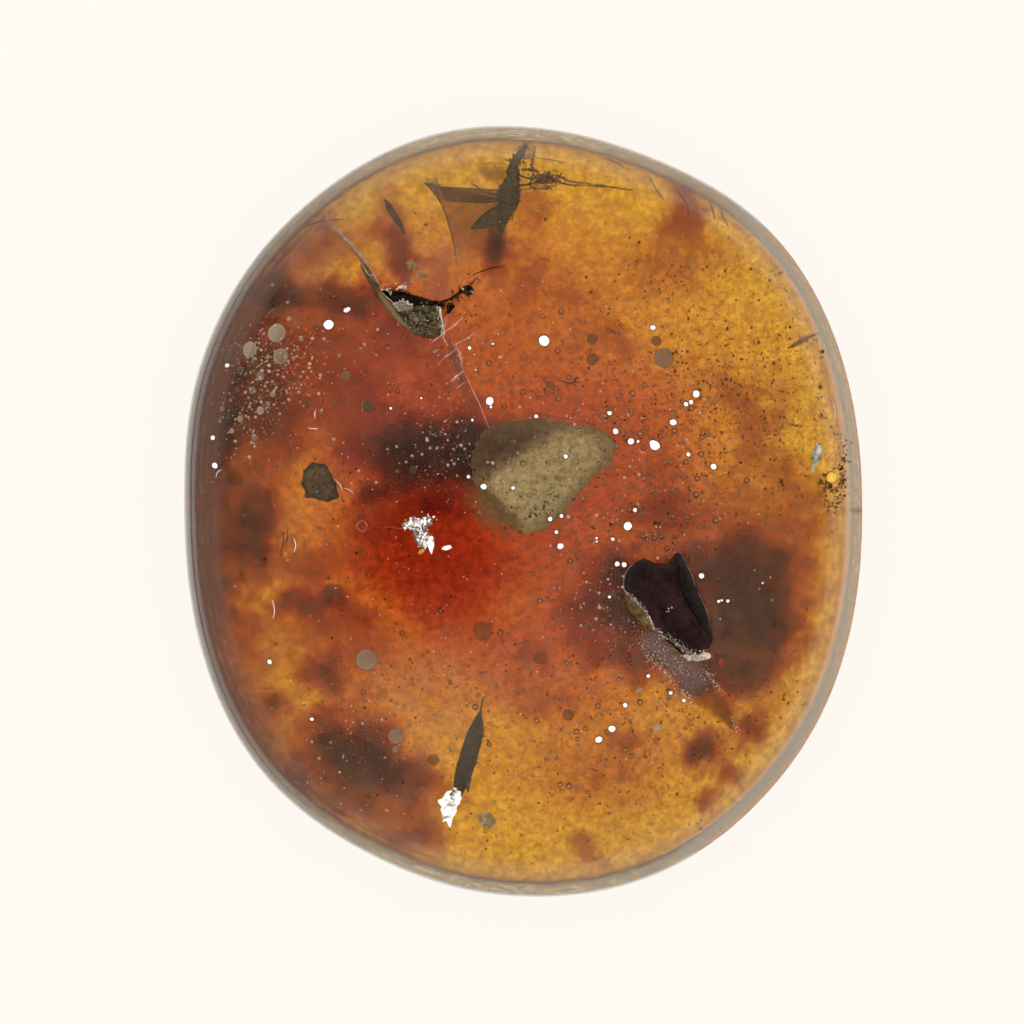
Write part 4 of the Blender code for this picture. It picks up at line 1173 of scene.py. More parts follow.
WHITE_LINES = (
    ((-3.85, 9.45), (-3.85, 9.1), (-3.9, 8.8)),
    ((-4.0, 8.65), (-3.85, 8.3), (-3.68, 8.05)),
    ((-4.55, 8.17), (-4.2, 8.45), (-3.95, 8.65), (-3.8, 8.78)),
    ((-3.8, 8.78), (-3.4, 9.05), (-3.0, 9.42)),
    ((-4.2, 7.1), (-3.85, 7.5), (-3.55, 7.7), (-3.3, 7.9)),
    ((-3.3, 8.15), (-2.9, 8.35), (-2.45, 8.65)),
    ((-3.6, 6.3), (-3.3, 6.55), (-3.0, 6.78)),
    ((-3.3, 5.95), (-3.05, 6.15), (-2.85, 6.3)),
    ((-3.3, 8.1), (-3.12, 7.65), (-3.05, 7.3), (-2.93, 6.8)),
    ((-2.95, 6.82), (-2.7, 6.35), (-2.5, 5.9), (-2.2, 5.3), (-1.95, 4.7), (-1.68, 4.0)),
    ((-7.6, 12.0), (-7.45, 11.75), (-7.2, 11.3), (-7.0, 10.95)),
    ((-7.95, 12.15), (-7.65, 11.62), (-7.5, 11.5), (-7.35, 11.55)),
    ((-6.95, 10.7), (-6.7, 10.45), (-6.45, 10.25), (-6.35, 10.05)),
    ((-6.8, 10.8), (-6.62, 10.75), (-6.5, 10.55)),
)
HORN = ((-4.1, 10.2, 0.05), (-3.6, 10.35, 0.06), (-3.2, 10.6, 0.08), (-2.95, 10.8, 0.12))
HORN_LUMP = ((-3.0, 11.0), (-2.6, 11.05), (-2.45, 10.75), (-2.7, 10.45), (-3.0, 10.6))
HORN_FOOT = ((-3.85, 10.0), (-3.5, 10.1), (-3.35, 9.95), (-3.6, 9.7), (-3.8, 9.6))
HORN_HAIRS = (
    ((-2.65, 11.4), (-2.3, 11.6), (-1.7, 11.82), (-0.9, 11.97)),
    ((-2.7, 11.0), (-2.45, 11.2), (-2.4, 11.4)),
    ((-3.4, 10.6), (-3.5, 10.75), (-3.45, 10.85)),
    ((-3.05, 10.7), (-3.15, 10.85), (-3.1, 11.0)),
)

# Grains beside paths, as (path, count, spread, smallest radius, largest radius)
CREVICE_GRAINS = (
    (((-6.2, 10.9), (-5.95, 10.98), (-5.75, 10.85)), 22, 0.07, 0.03, 0.08),
    (((-6.95, 10.75), (-6.6, 10.8), (-6.45, 10.5)), 10, 0.06, 0.02, 0.05),
    (((-6.4, 10.1), (-5.9, 10.22), (-5.45, 10.05)), 40, 0.04, 0.02, 0.05),
    (((-4.15, 9.95), (-4.05, 9.3), (-3.9, 8.6)), 60, 0.05, 0.015, 0.04),
    (((-3.35, 8.1), (-3.1, 7.6), (-3.0, 7.2)), 50, 0.08, 0.01, 0.03),
    (((-2.85, 10.95), (-2.7, 10.8), (-2.6, 10.7)), 20, 0.12, 0.02, 0.06),
    (((-9.3, 14.0), (-8.4, 13.0), (-7.6, 12.0)), 70, 0.05, 0.01, 0.03),
    (((-3.8, 8.8), (-3.4, 9.05), (-3.0, 9.42)), 30, 0.03, 0.01, 0.025),
    (((-3.3, 8.15), (-2.9, 8.35), (-2.2, 8.8)), 36, 0.03, 0.01, 0.02),
    (((-4.2, 7.1), (-3.85, 7.5), (-3.3, 7.9)), 36, 0.04, 0.01, 0.025),
    (((-3.6, 6.3), (-3.3, 6.55), (-3.0, 6.8)), 36, 0.06, 0.01, 0.03),
    (((-3.5, 8.1), (-3.5, 7.4), (-3.2, 6.8)), 60, 0.2, 0.008, 0.02),
    (((-5.8, 9.5), (-5.0, 9.4), (-4.4, 9.3)), 60, 0.35, 0.01, 0.03),
)

# Skins, as (name, edges, thickness, lift, film)
TAN_SKIN = ("tan_skin", "#C9A98C", "#7A6448", 0.6, 0.3, None, 0.5)
OLIVE_SKIN = ("olive_skin", "#B79C82", "#7A6A4E", 0.75, 0.3, None, 0.7)
SPLIT_SKIN = ("split_skin", "#ECDCD4", "#B08C7C", 0.3, 0.3, (0.4, 1.1), 0.7)
CREVICE_SKINS = (
    ("crevice_wedge", WEDGE_TOP, WEDGE_LOW, 0.08, -0.03, TAN_SKIN),
    ("crevice_fade", OLIVE_TOP, OLIVE_LOW, 0.08, -0.1, OLIVE_SKIN),
    ("crack", CRACK_LEFT, CRACK_RIGHT, 0.05, -0.15, SPLIT_SKIN),
)
CRUST_OLIVE = ((0.36, "#241D14"), (0.47, "#4A3F2C"), (0.55, "#6B5E42"), (0.66, "#A89C78"))
CRUST_GREY = ((0.38, "#5A4F3E"), (0.5, "#82765E"), (0.64, "#B0A68E"))


def crust_shape():
    """A crumbly crust in the notch, with a grey lump on its upper edge; its grains stand up."""
    crust = flake(CRUST_EDGE, 0.5, 50, 0.05, 0.45, 0.35, 5.0, 70)[0]
    points, quads, triangles = flake(GREY_LUMP, 0.5, 20, 0.08, 0.4, 0.25, 4.0, 71)[0]
    tone = np.concatenate([np.zeros(len(crust[0])), np.ones(len(points))])
    grey_lump = (points + [0, 0, 0.25], quads, triangles)
    return laid(joined([crust, grey_lump]), -0.45, dome_top), tone


def crust_stuff():
    """Clay and decayed resin packed in the notch: matt olive grains, yellowish crumbs, a grey-tan lump."""
    made, tree = new_material("clay_crust")
    coarse = add(tree, "Math", TIMES, grains(tree, 0.5, 6.0, 0.7), 0.5)
    fine = add(tree, "Math", TIMES, grains(tree, 0.12, 3.0, 0.7), 0.5)
    grain = add(tree, "Math", PLUS, coarse, fine)
    olive = add(tree, "ValToRGB", {"stops": CRUST_OLIVE}, grain)
    grey = add(tree, "ValToRGB", {"stops": CRUST_GREY}, grain)
    mixed = add(tree, "Mix", {"data_type": "RGBA"}, Factor="tone", A=olive, B=grey)
    relief = add(tree, "Bump", Strength=0.5, Distance=0.06 * MM, Height=grain)
    matt = {"Roughness": 0.9, "Specular_IOR_Level": 0.2}
    solid = add(tree, "BsdfPrincipled", Base_Color=mixed, Normal=relief, **matt)
    add(tree, "OutputMaterial", Surface=solid)
    return made


crust, tone = crust_shape()
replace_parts(make_piece("crust", crust, crust_stuff(), {"tone": tone}), "crevice_fill")

# A black sheet that paints shade in the gap over the crust, and a brown horn of dust at its end
soot = mineral("black_gap_shade_and_dust", ((0.42, "#0A0906"), (0.62, "#2E261C")), 0.3, 0.6, 0.9, 0.05)
horn_tones = ((0.42, "#100C08"), (0.56, "#3A2A1C"), (0.66, "#6E563C"))
horn_stuff = mineral("horn_dust", horn_tones, 0.3, 0.6, 0.9, 0.1)
gap = band(GAP_TOP, GAP_LOW, 0.5, 60, 12, 0.25, 72)[0]
points, quads, triangles = flake(HORN_LUMP, 0.35, 12, 0.2, 0.5, 0.2, 3.0, 73)[0]
horn = [limb(HORN, 30, 8, 1.0, 0.3, 0.12), (points + [0, 0, 0.1], quads, triangles)]
horn += hairs(HORN_HAIRS, 0.035)
horn.append(flake(HORN_FOOT, 0.2, 10, 0.2, 0.4, 0.2, 3.0, 74)[0])
horn.append(grit(along(((-4.0, 10.1), (-3.5, 10.2), (-3.2, 10.4)), 60, 0.13, 75), 0.02, 0.06, 76))
# The black sheet in the gap is painted shade
make_piece("crevice_gap_shade", laid(gap, -0.62, dome_top), soot)
make_piece("crevice_horn", laid(joined(horn), -0.1, dome_top), horn_stuff)

# Whitened lips, white dust in the scratches, and skins that thin out away from the crevice
# This white serves white dust, and also painted glints in the pit and painted highlights on the rim
white_dust_and_highlights = mineral("white_dust_and_highlights", ((0.38, "#80726A"), (0.6, "#D8CCC2")), 0.3, 0.4, 0.9)
lilac_tones = ((0.38, "#6A564C"), (0.52, "#84706A"), (0.66, "#A89890"))
ridge_dust = mineral("lilac_dust", lilac_tones, 0.3, 0.6, 0.9)
ridge = band(RIDGE, RIDGE_SIDE, 0.14, 90, 8, 0.4, 77)[0]
make_piece("crevice_ridge", laid(ridge, 0.02, dome_top), ridge_dust)
lines = hairs(WHITE_LINES, 0.015) + [band(STREAK_LEFT, STREAK_RIGHT, 0.1, 30, 6, 0.6, 78)[0]]
lines += strewn(CREVICE_GRAINS, 80, 90)
make_piece("crevice_white", laid(joined(lines), 0.02, dome_top), white_dust_and_highlights)
for name, first_edge, other_edge, thickness, lift, skin in CREVICE_SKINS:
    sheet, values = band(first_edge, other_edge, thickness, 80, 14, 0.3, 81)
    make_piece(name, laid(sheet, lift, dome_top), tinted_film(*skin), values)


# ---------------------------------------------------------------- the lining of the open pit
CRESCENT = (
    (5.3, -2.62), (5.9, -2.38), (6.4, -2.55), (6.3, -2.9), (5.85, -3.2), (5.6, -3.7), (5.25, -3.95),
    (5.0, -3.7), (5.05, -3.1),
)
BLADE_LEFT = (
    (7.5, -2.1), (7.45, -2.4), (7.55, -2.9), (7.6, -3.4), (7.75, -4.0), (8.15, -4.8), (8.6, -5.5),
    (9.15, -6.2),
)
BLADE_RIGHT = (
    (7.62, -2.05), (7.85, -2.35), (8.1, -2.85), (8.3, -3.3), (8.55, -3.95), (8.85, -4.6), (9.1, -5.4),
    (9.25, -6.3),
)
WEDGE_OUT = ((4.95, -4.05), (5.0, -4.6), (5.3, -5.05), (5.65, -5.4), (5.95, -5.7), (6.3, -6.0))
WEDGE_IN = ((5.02, -4.0), (5.45, -4.38), (5.8, -4.75), (6.05, -5.15), (6.25, -5.4), (6.42, -5.75))
DUST_TOP = (
    (6.3, -5.6), (6.7, -5.95), (7.1, -6.35), (7.6, -6.75), (8.1, -7.05), (8.6, -7.25), (9.1, -7.8),
    (9.5, -8.6),
)
DUST_LOW = (
    (5.6, -5.95), (5.8, -6.5), (6.05, -7.1), (6.4, -7.55), (7.0, -8.0), (7.35, -8.5), (7.65, -9.0),
    (8.2, -9.3),
)
TAIL_LEFT = ((7.6, -8.5), (8.0, -9.15), (8.6, -9.65), (9.2, -10.1), (9.8, -10.5), (10.35, -10.85))
TAIL_RIGHT = ((9.0, -7.8), (9.35, -8.35), (9.7, -8.85), (10.1, -9.4), (10.35, -10.0), (10.48, -10.8))
CREAM = (
    (7.9, -7.1), (8.3, -7.12), (8.65, -7.0), (8.95, -6.8), (8.85, -7.2), (8.6, -7.42), (8.3, -7.45),
    (8.05, -7.25),
)
RED_SPOT = ((9.5, -7.3), (9.7, -7.2), (9.8, -7.4), (9.7, -7.6), (9.55, -7.55))
GAP_LINE = ((6.85, -6.28, 0.03), (7.2, -6.48, 0.06), (7.55, -6.8, 0.07), (7.85, -7.02, 0.04))
TAN_PATCH = ((7.2, -6.6), (7.5, -6.75), (7.75, -6.98), (7.5, -6.95), (7.25, -6.78))
PIT_RIM = (
    (5.4, -2.55), (5.05, -2.95), (4.92, -3.3), (4.88, -3.75), (5.02, -4.0), (5.4, -4.35), (5.7, -4.65),
    (5.97, -4.95),
)
PIT_RIM_END = ((5.97, -4.95), (6.2, -5.3), (6.35, -5.65), (6.5, -5.85))
BLADE_RIM = (
    (7.6, -2.02), (7.78, -2.25), (8.0, -2.7), (8.25, -3.2), (8.48, -3.9), (8.8, -4.5), (9.02, -5.1),
    (9.18, -5.8),
)
PIT_GRAINS = (
    (((5.75, -6.3), (5.95, -6.9), (6.4, -7.5), (7.0, -8.0), (7.4, -8.5)), 200, 0.08, 0.01, 0.03),
    (((6.1, -6.2), (6.5, -6.9), (7.1, -7.5), (7.8, -8.3)), 420, 0.35, 0.008, 0.025),
    (((6.4, -5.75), (6.8, -6.1), (7.5, -6.6), (8.1, -7.0)), 200, 0.1, 0.01, 0.03),
    (((7.2, -6.4), (7.8, -6.8), (8.4, -7.0)), 90, 0.16, 0.012, 0.03),
    (((8.0, -7.15), (8.5, -7.2), (8.85, -7.0)), 50, 0.1, 0.03, 0.07),
    (((8.9, -7.8), (9.3, -8.4), (9.7, -8.9)), 60, 0.08, 0.012, 0.03),
    (((7.5, -8.7), (7.9, -9.1), (8.3, -9.3)), 70, 0.16, 0.012, 0.03),
    (((10.2, -10.2), (10.4, -10.6), (10.45, -10.8)), 22, 0.06, 0.012, 0.03),
    (((5.05, -4.0), (5.5, -4.4), (5.95, -4.95), (6.3, -5.6)), 120, 0.05, 0.01, 0.03),
    (((8.4, -7.6), (8.9, -8.0), (9.1, -8.6)), 60, 0.3, 0.01, 0.022),
)

# Skins of dust round the pit, as (name, edges, lift, film), and painted glints, small white highlights, as (x,
# y, radius)
DUSTY_SKIN = ("dusty_skin", "#C8B0A4", "#786058", 0.55, 0.25, None, 0.6)
TAIL_SKIN = ("tail_skin_film", "#E4D0C8", "#906C5C", 0.3, 0.25, None, 0.7)
PIT_COVERS = (
    ("pit_dust", DUST_TOP, DUST_LOW, 0.02, DUSTY_SKIN),
    ("pit_tail", TAIL_LEFT, TAIL_RIGHT, -0.1, TAIL_SKIN),
)
PAINTED_GLINTS = (
    (7.0, -4.95, 0.03), (7.1, -4.93, 0.05), (7.26, -4.76, 0.05), (8.55, -7.35, 0.04), (6.65, -6.3, 0.03),
)


# Damp black-brown dust on the floor; what is dusted white was scraped or has dried out, and the white glints are
# painted highlights
floor_dust = mineral("pit_floor_dust", ((0.4, "#221417"), (0.62, "#382422")), 0.8, 0.4, 0.9, 0.05)
grey_green = mineral("grey_green_skin", ((0.38, "#1C1615"), (0.62, "#2C2421")), 0.5, 0.4, 0.8, 0.1)
olive_tones = ((0.38, "#33240C"), (0.52, "#5E4818"), (0.66, "#80704A"))
olive = mineral("olive_skin_dust", olive_tones, 0.4, 0.5, 0.7)
cream = mineral("cream_crumbs", ((0.38, "#7A6C58"), (0.6, "#D8CEB8")), 0.2, 0.6, 0.9)
rust = mineral("rust_crumb", ((0.4, "#6A2412"), (0.6, "#96381A")), 0.1, 0.5, 0.8)
LININGS = (
    ("pit_floor", flake(PIT, 0.1, 30, 0.01, 0.2, 0.5, 9.0, 101)[0], 0.0, floor_dust),
    ("pit_crescent", flake(CRESCENT, 0.14, 26, 0.04, 0.2, 0.4, 4.0, 102)[0], 0.04, grey_green),
    ("pit_blade", band(BLADE_LEFT, BLADE_RIGHT, 0.16, 60, 10, 0.3, 103)[0], 0.05, grey_green),
    ("pit_wedge", band(WEDGE_OUT, WEDGE_IN, 0.12, 40, 10, 0.4, 104)[0], 0.02, olive),
    ("pit_tan", flake(TAN_PATCH, 0.1, 10, 0.1, 0.3, 0.2, 4.0, 105)[0], 0.05, olive),
    ("pit_gap_line", limb(GAP_LINE, 30, 6), 0.06, soot),
    ("pit_cream", flake(CREAM, 0.12, 22, 0.45, 0.9, 0.12, 3.0, 106)[0], 0.05, cream),
    ("pit_red_spot", flake(RED_SPOT, 0.12, 10, 0.15, 0.3, 0.2, 3.0, 107)[0], 0.02, rust),
)
for name, shape, lift, finish in LININGS:
    make_piece(name, laid(shape, lift), finish)
for name, first_edge, other_edge, lift, skin in PIT_COVERS:
    sheet, values = band(first_edge, other_edge, 0.05, 70, 20, 0.3, 108)
    make_piece(name, laid(sheet, lift), tinted_film(*skin), values)
white = [hair(PIT_RIM, 0.009), hair(PIT_RIM_END, 0.014), hair(BLADE_RIM, 0.007)]
white += strewn(PIT_GRAINS, 110, 130)
# The glints are painted highlights: small white lumps
for number, (x, y, radius) in enumerate(PAINTED_GLINTS, 150):
    white.append(lump((x, y, 0.06), (radius, radius, radius), 0, 0.2, number, 6, 8))
make_piece("pit_white_and_glints", laid(joined(white), 0.06), white_dust_and_highlights)


# ---------------------------------------------------------------- specks, hazy bubbles, white pits and lint
# Where specks gather, as (x, y, spread, share of them)
SPECK_SWARMS = (
    (0.0, 0.0, 8.5, 0.3),
    (9.0, 8.0, 3.5, 0.14),
    (11.5, 5.0, 2.6, 0.1),
    (8.5, 0.0, 3.0, 0.1),
    (4.0, -12.0, 4.5, 0.14),
    (9.0, -9.5, 3.0, 0.08),
    (-8.0, -10.0, 4.0, 0.08),
    (-9.0, 6.0, 4.0, 0.06),
)
SPECK_COUNT = 13000

# Where tiny milky bubbles gather, in the same terms
DOT_SWARMS = (
    (-12.4, 7.0, 1.3, 0.4),
    (-13.6, 4.6, 1.0, 0.12),
    (-3.6, 3.2, 1.1, 0.1),
    (-8.3, -12.0, 1.6, 0.08),
    (4.4, -4.8, 1.2, 0.08),
    (4.5, 2.0, 3.0, 0.12),
    (-6.0, 6.0, 3.5, 0.1),
)
DOT_COUNT = 2200

# White-filled pits in the surface, as (x, y, radius)
WHITE_PITS = (
    (-9.55, 9.1, 0.26), (-8.7, 9.8, 0.12), (-8.58, 9.86, 0.11), (1.0, 8.3, 0.28), (6.43, 3.18, 0.26),
    (6.3, 3.3, 0.16), (8.45, 5.7, 0.19), (8.2, 5.3, 0.12), (7.95, 5.2, 0.12), (7.32, 4.31, 0.17),
    (5.25, 3.38, 0.17), (5.6, 3.38, 0.08), (4.5, 3.87, 0.15), (4.2, 4.76, 0.12), (0.62, 4.6, 0.1),
    (-1.65, 5.35, 0.21), (-1.6, 5.06, 0.08), (2.05, 2.64, 0.12), (-1.95, 1.16, 0.16), (-0.52, 1.1, 0.1),
    (1.3, -0.42, 0.12), (1.85, -0.27, 0.1), (1.6, -1.06, 0.1), (1.8, -1.75, 0.16), (5.1, -0.76, 0.22),
    (5.45, 0.02, 0.11), (4.36, -1.4, 0.1), (3.57, -1.35, 0.07), (3.57, -1.52, 0.06), (-2.7, 1.65, 0.09),
    (8.06, 2.74, 0.11), (9.3, 2.15, 0.16), (6.33, 8.95, 0.14), (4.57, -2.62, 0.13), (4.92, -2.65, 0.13),
    (8.7, -3.2, 0.14), (4.2, -4.23, 0.08), (9.55, -4.45, 0.08), (10.0, -4.43, 0.08), (7.1, -4.8, 0.05),
    (9.7, -4.4, 0.06), (6.1, -8.1, 0.1), (7.2, -8.93, 0.1), (7.85, -9.3, 0.11), (4.97, -9.53, 0.12),
    (4.32, -10.68, 0.18), (3.68, -11.22, 0.18), (4.95, -9.5, 0.09), (-12.45, -7.42, 0.13),
    (-10.37, -10.23, 0.1), (-14.55, 7.12, 0.11), (-15.25, 3.57, 0.12), (-15.15, 2.2, 0.15),
    (-2.65, 7.95, 0.1), (-1.5, 8.15, 0.07), (-5.0, 5.5, 0.06), (-2.5, 4.42, 0.07), (-6.5, 5.0, 0.07),
    (-2.35, 6.87, 0.05), (11.7, -3.55, 0.05),
)

# Hazy bubbles below the surface, as (x, y, radius, strength)
HAZY_BUBBLES = (
    (-13.43, 7.9, 0.42, 1.0), (-12.1, 8.7, 0.5, 0.85), (-11.9, 7.56, 0.42, 0.75), (-12.9, 4.9, 0.22, 0.85),
    (-13.9, 4.5, 0.18, 0.8), (-14.3, 3.9, 0.14, 0.9), (-13.2, 3.6, 0.2, 0.7), (-12.3, 5.7, 0.15, 0.8),
    (-11.5, 9.4, 0.13, 0.8), (-10.9, 8.4, 0.12, 0.8), (-14.8, 5.0, 0.15, 0.8), (6.87, 7.47, 0.5, 0.62),
    (6.5, 8.3, 0.26, 0.5), (3.37, 8.4, 0.28, 0.5), (3.37, 7.4, 0.32, 0.4), (-7.7, -7.3, 0.54, 0.7),
    (-6.25, -11.06, 0.4, 0.7), (-6.28, -11.7, 0.16, 0.7), (-8.7, 6.62, 0.25, 0.6), (-7.6, 5.1, 0.3, 0.5),
    (1.3, 6.1, 0.22, 0.5), (6.55, -10.65, 0.18, 0.9), (5.65, -8.8, 0.14, 0.8), (-7.7, 5.15, 0.3, 0.6),
    (-5.4, 2.0, 0.22, 0.4), (-12.9, 6.6, 0.25, 0.7), (-13.9, 6.9, 0.22, 0.6), (-13.3, 5.9, 0.2, 0.7),
    (-12.6, 5.2, 0.16, 0.6), (-14.2, 5.6, 0.18, 0.5), (-11.3, 6.4, 0.2, 0.4), (-10.6, 5.3, 0.26, 0.4),
    (-14.4, 8.5, 0.2, 0.5), (-13.0, 9.6, 0.22, 0.5), (2.2, -10.0, 0.3, 0.4), (0.8, -7.2, 0.34, 0.3),
    (-2.0, -5.9, 0.5, 0.3), (-4.4, -12.2, 0.3, 0.4), (-9.4, -4.0, 0.45, 0.3),
)
BUBBLE_PROFILE = ((0.0, "#DCDCDC"), (0.7, "#E4E4E4"), (0.86, "#FFFFFF"), (1.0, "#000000"))

# White lint on the surface, and dark plant hairs inside
LINT = (
    ((-10.15, 4.95), (-10.22, 4.75), (-10.2, 4.5)),
    ((-10.55, 4.05), (-10.3, 4.0), (-10.05, 4.02)),
    ((-11.25, -1.35), (-11.15, -1.7), (-11.25, -2.05)),
    ((-12.3, -4.4), (-12.2, -4.9), (-12.28, -5.3)),
    ((-15.1, 1.6), (-15.0, 1.9), (-14.8, 2.0)),
)
DARK_HAIRS = (
    ((1.6, 6.42), (2.0, 6.3), (2.65, 6.12)),
    ((1.05, 6.55), (1.0, 6.4), (1.15, 6.25)),
    ((2.0, 6.1), (2.35, 6.25), (2.9, 6.3)),
    ((-11.9, -0.95), (-11.75, -1.5), (-11.9, -2.0), (-11.8, -2.45)),
    ((-11.6, -0.9), (-11.55, -1.3), (-11.7, -1.7)),
    ((4.0, 17.3), (4.5, 17.1), (5.0, 16.8)),
    ((6.2, 16.3), (6.5, 15.8), (6.9, 15.2)),
    ((-12.4, 13.4), (-11.2, 13.7), (-10.0, 14.2), (-8.9, 14.3)),
    ((-11.8, 13.0), (-11.3, 13.7), (-11.1, 14.4)),
    ((-10.6, 13.9), (-10.5, 14.5), (-10.2, 15.0)),
    ((-9.9, 14.2), (-9.5, 13.7), (-9.2, 13.5)),
    ((9.1, 15.2), (9.3, 14.7), (9.4, 14.2)),
    ((9.7, 14.9), (9.8, 14.4), (10.1, 13.9)),
    ((-13.0, 12.6), (-12.4, 13.0), (-11.9, 13.5)),
    ((7.4, 15.9), (8.0, 15.0), (8.1, 14.4)),
)


def hazy_discs():
    """Flat, soft-edged lenses below the dome, each with its strength and how far out a point lies."""
    ring, turn = disc_grid(6)
    share = ring / 6
    flat = np.stack([share * np.cos(turn), share * np.sin(turn)], -1)
    top = np.concatenate([flat, 0.2 * (1 - share[..., None] ** 2)], -1)
    disc = pillow(top, top * [1, 1, -1])
    rows = np.array(HAZY_BUBBLES)
    places = sunk(rows[:, 0], rows[:, 1], depth=0.3)
    shape = scattered(disc, places, rows[:, 2:3] * [1, 1, 0.5], 61)
    edge = pillow_values(share)
    return shape, {"edge": np.tile(edge, len(rows)), "strength": np.repeat(rows[:, 3], len(edge))}


def hazy_skin():
    """A bubble's milky wall: it shows as a beige disc, denser in a ring before its edge."""
    made, tree = new_material("milky_bubble_wall")
    profile = add(tree, "ValToRGB", {"stops": BUBBLE_PROFILE}, "edge")
    cover = add(tree, "Math", TIMES, add(tree, "Math", TIMES, profile, "strength"), 0.95)
    behind = add(tree, "ValToRGB", {"stops": ((0.0, "#FFFFFF"), (1.0, "#C0A08C"))}, cover)
    milk = add(tree, "ValToRGB", {"stops": ((0.5, "#94785E"), (0.85, "#F0E0CC"))}, "strength")
    solid = add(tree, "BsdfPrincipled", Base_Color=milk, Roughness=0.8, Specular_IOR_Level=0.2)
    return skin_over(made, cover, solid, Color=behind)


def specks():
    """Thousands of crumbs of soil and rotted wood, strewn from close under the dome to the flow layer."""
    places = swarm(SPECK_SWARMS, SPECK_COUNT, 62)
    chance = np.random.default_rng(63)
    spots = sunk(*places.T, depth=chance.uniform(0.15, 2.5, len(places)))
    sizes = mostly_small(chance, len(places), 0.026, 0.045, 6) * chance.uniform(0.7, 1.4, (len(places), 3))
    return scattered(octahedron, spots, sizes, 64)


def pale_dots():
    """Tiny milky bubbles that gather in swarms, too small to be seen through."""
    places = swarm(DOT_SWARMS, DOT_COUNT, 66)
    chance = np.random.default_rng(67)
    spots = sunk(*places.T, depth=chance.uniform(0.1, 0.3, len(places)))
    return scattered(ball(3, 6), spots, mostly_small(chance, len(places), 0.012, 0.1, 7), 68)


def pit_fillings(growth, thickness):
    """The flat lumps that fill the surface pits, each a little out of round."""
    lumps = []
    for number, (x, y, radius) in enumerate(WHITE_PITS):
        half_size = (radius + growth, 0.92 * radius + growth, thickness)
        lumps.append(lump((x, y, 0), half_size, 40 * number, 0.07, 200 + number, 8, 14))
    return lumps


# The smallest closed grain is a ring of four points between two poles
octahedron = ball(2, 4)
speck_stuff = mineral("soil_specks", ((0.42, "#1C0C08"), (0.58, "#4A2014")), 0.6, 0.1, 0.9, 0.2)
make_piece("specks", specks(), speck_stuff)
make_piece("plant_hairs", sink(joined(hairs(DARK_HAIRS, 0.035))), speck_stuff)
dot_stuff = mineral("milky_dots", ((0.4, "#BC9C84"), (0.6, "#FFECD8")), 0.3, 0.0, 0.9)
make_piece("pale_dots", pale_dots(), dot_stuff)
discs, values = hazy_discs()
make_piece("hazy_bubbles", discs, hazy_skin(), values)
make_piece("pit_rings", laid(joined(pit_fillings(0.035, 0.03))), speck_stuff)
lime = mineral("lime_white", ((0.35, "#E8E2D8"), (0.55, "#FFFFFF")), 0.1, 0.3, 0.9)
make_piece("white_pits", laid(joined(pit_fillings(0.0, 0.06) + hairs(LINT, 0.014))), lime)


# ---------------------------------------------------------------- the rim, ring marks and surface dust
SLIVER_TOP = ((13.0, 8.0), (13.4, 8.35), (13.9, 8.6), (14.6, 8.78))
SLIVER_LOW = ((13.02, 7.95), (13.55, 8.1), (14.05, 8.4), (14.62, 8.7))
SHEEN_FLAKE = (
    (14.35, 3.35), (14.62, 3.2), (14.68, 2.8), (14.6, 2.45), (14.35, 2.2), (14.2, 1.9), (14.1, 2.2),
    (14.12, 2.9),
)

# Dirt beside paths, as (path, count, spread, smallest radius, largest radius)
RIM_CRUMBS = (
    (((15.55, 2.1), (15.7, 1.5), (15.35, 1.05), (14.85, 1.05), (14.6, 1.5)), 90, 0.07, 0.02, 0.08),
    (((15.9, 3.6), (15.8, 2.6), (15.75, 1.6), (15.5, 0.6), (15.2, 0.0)), 110, 0.14, 0.02, 0.07),
    (((14.6, 1.6), (14.5, 1.0), (14.9, 0.4), (15.0, -0.3)), 60, 0.1, 0.02, 0.06),
)

# Dark blobs, as (x, y, radius)
RIM_BLOBS = (
    (15.02, 1.2, 0.15), (14.75, 1.75, 0.1), (12.62, 1.45, 0.13), (12.7, 1.25, 0.07), (14.68, 7.8, 0.13),
    (14.55, 6.05, 0.12), (12.25, 7.22, 0.1), (10.2, 5.9, 0.06), (1.05, 14.25, 0.09), (1.06, 0.42, 0.07),
    (2.44, 0.52, 0.08), (3.67, 1.6, 0.07), (4.42, 9.1, 0.05),
)
# Pale scratches, and two painted highlights along the top of the rim
PALE_SCRATCHES_AND_HIGHLIGHTS = (
    ((15.3, 7.45), (15.38, 7.1), (15.32, 6.8)),
    ((15.6, 6.2), (15.85, 5.7), (16.0, 5.3)),
    ((15.2, 5.3), (15.3, 4.8), (15.25, 4.2)),
    # These two rows are painted highlights along the top of the rim
    ((-1.3, 18.35), (-0.6, 18.42), (0.1, 18.38)),
    ((-0.5, 18.25), (0.3, 18.25), (0.9, 18.15)),
    ((-9.3, 1.55), (-9.0, 1.3), (-8.85, 0.95)),
    ((-8.8, 1.1), (-8.5, 1.0), (-8.3, 0.8)),
)

# A ring mark, as (x, y, radius), and the number of dust grains
RING_MARK = (-7.9, -0.76, 0.25)
SURFACE_DUST = 800

# Where a pale skin on the rim shows frost on the ground flank (at 30 and -5 degrees) and paints light on its top
# and bottom (at 92 and 268 degrees), as (degrees round the rim, spread, strength), and the share where that
# starts
FROST_AND_PAINTED_LIGHT = ((30, 15, 0.2), (92, 36, 0.5), (268, 34, 0.5), (-5, 44, 0.45))
FROST_FROM = 0.955

# Where a dull brown skin paints shade on the left side of the rim, in the same terms
PAINTED_RIM_SHADE = ((183, 42, 0.62), (228, 22, 0.3), (140, 20, 0.2))
PAINTED_SHADE_FROM = 0.88
RIM_SKIN_END = 0.9995


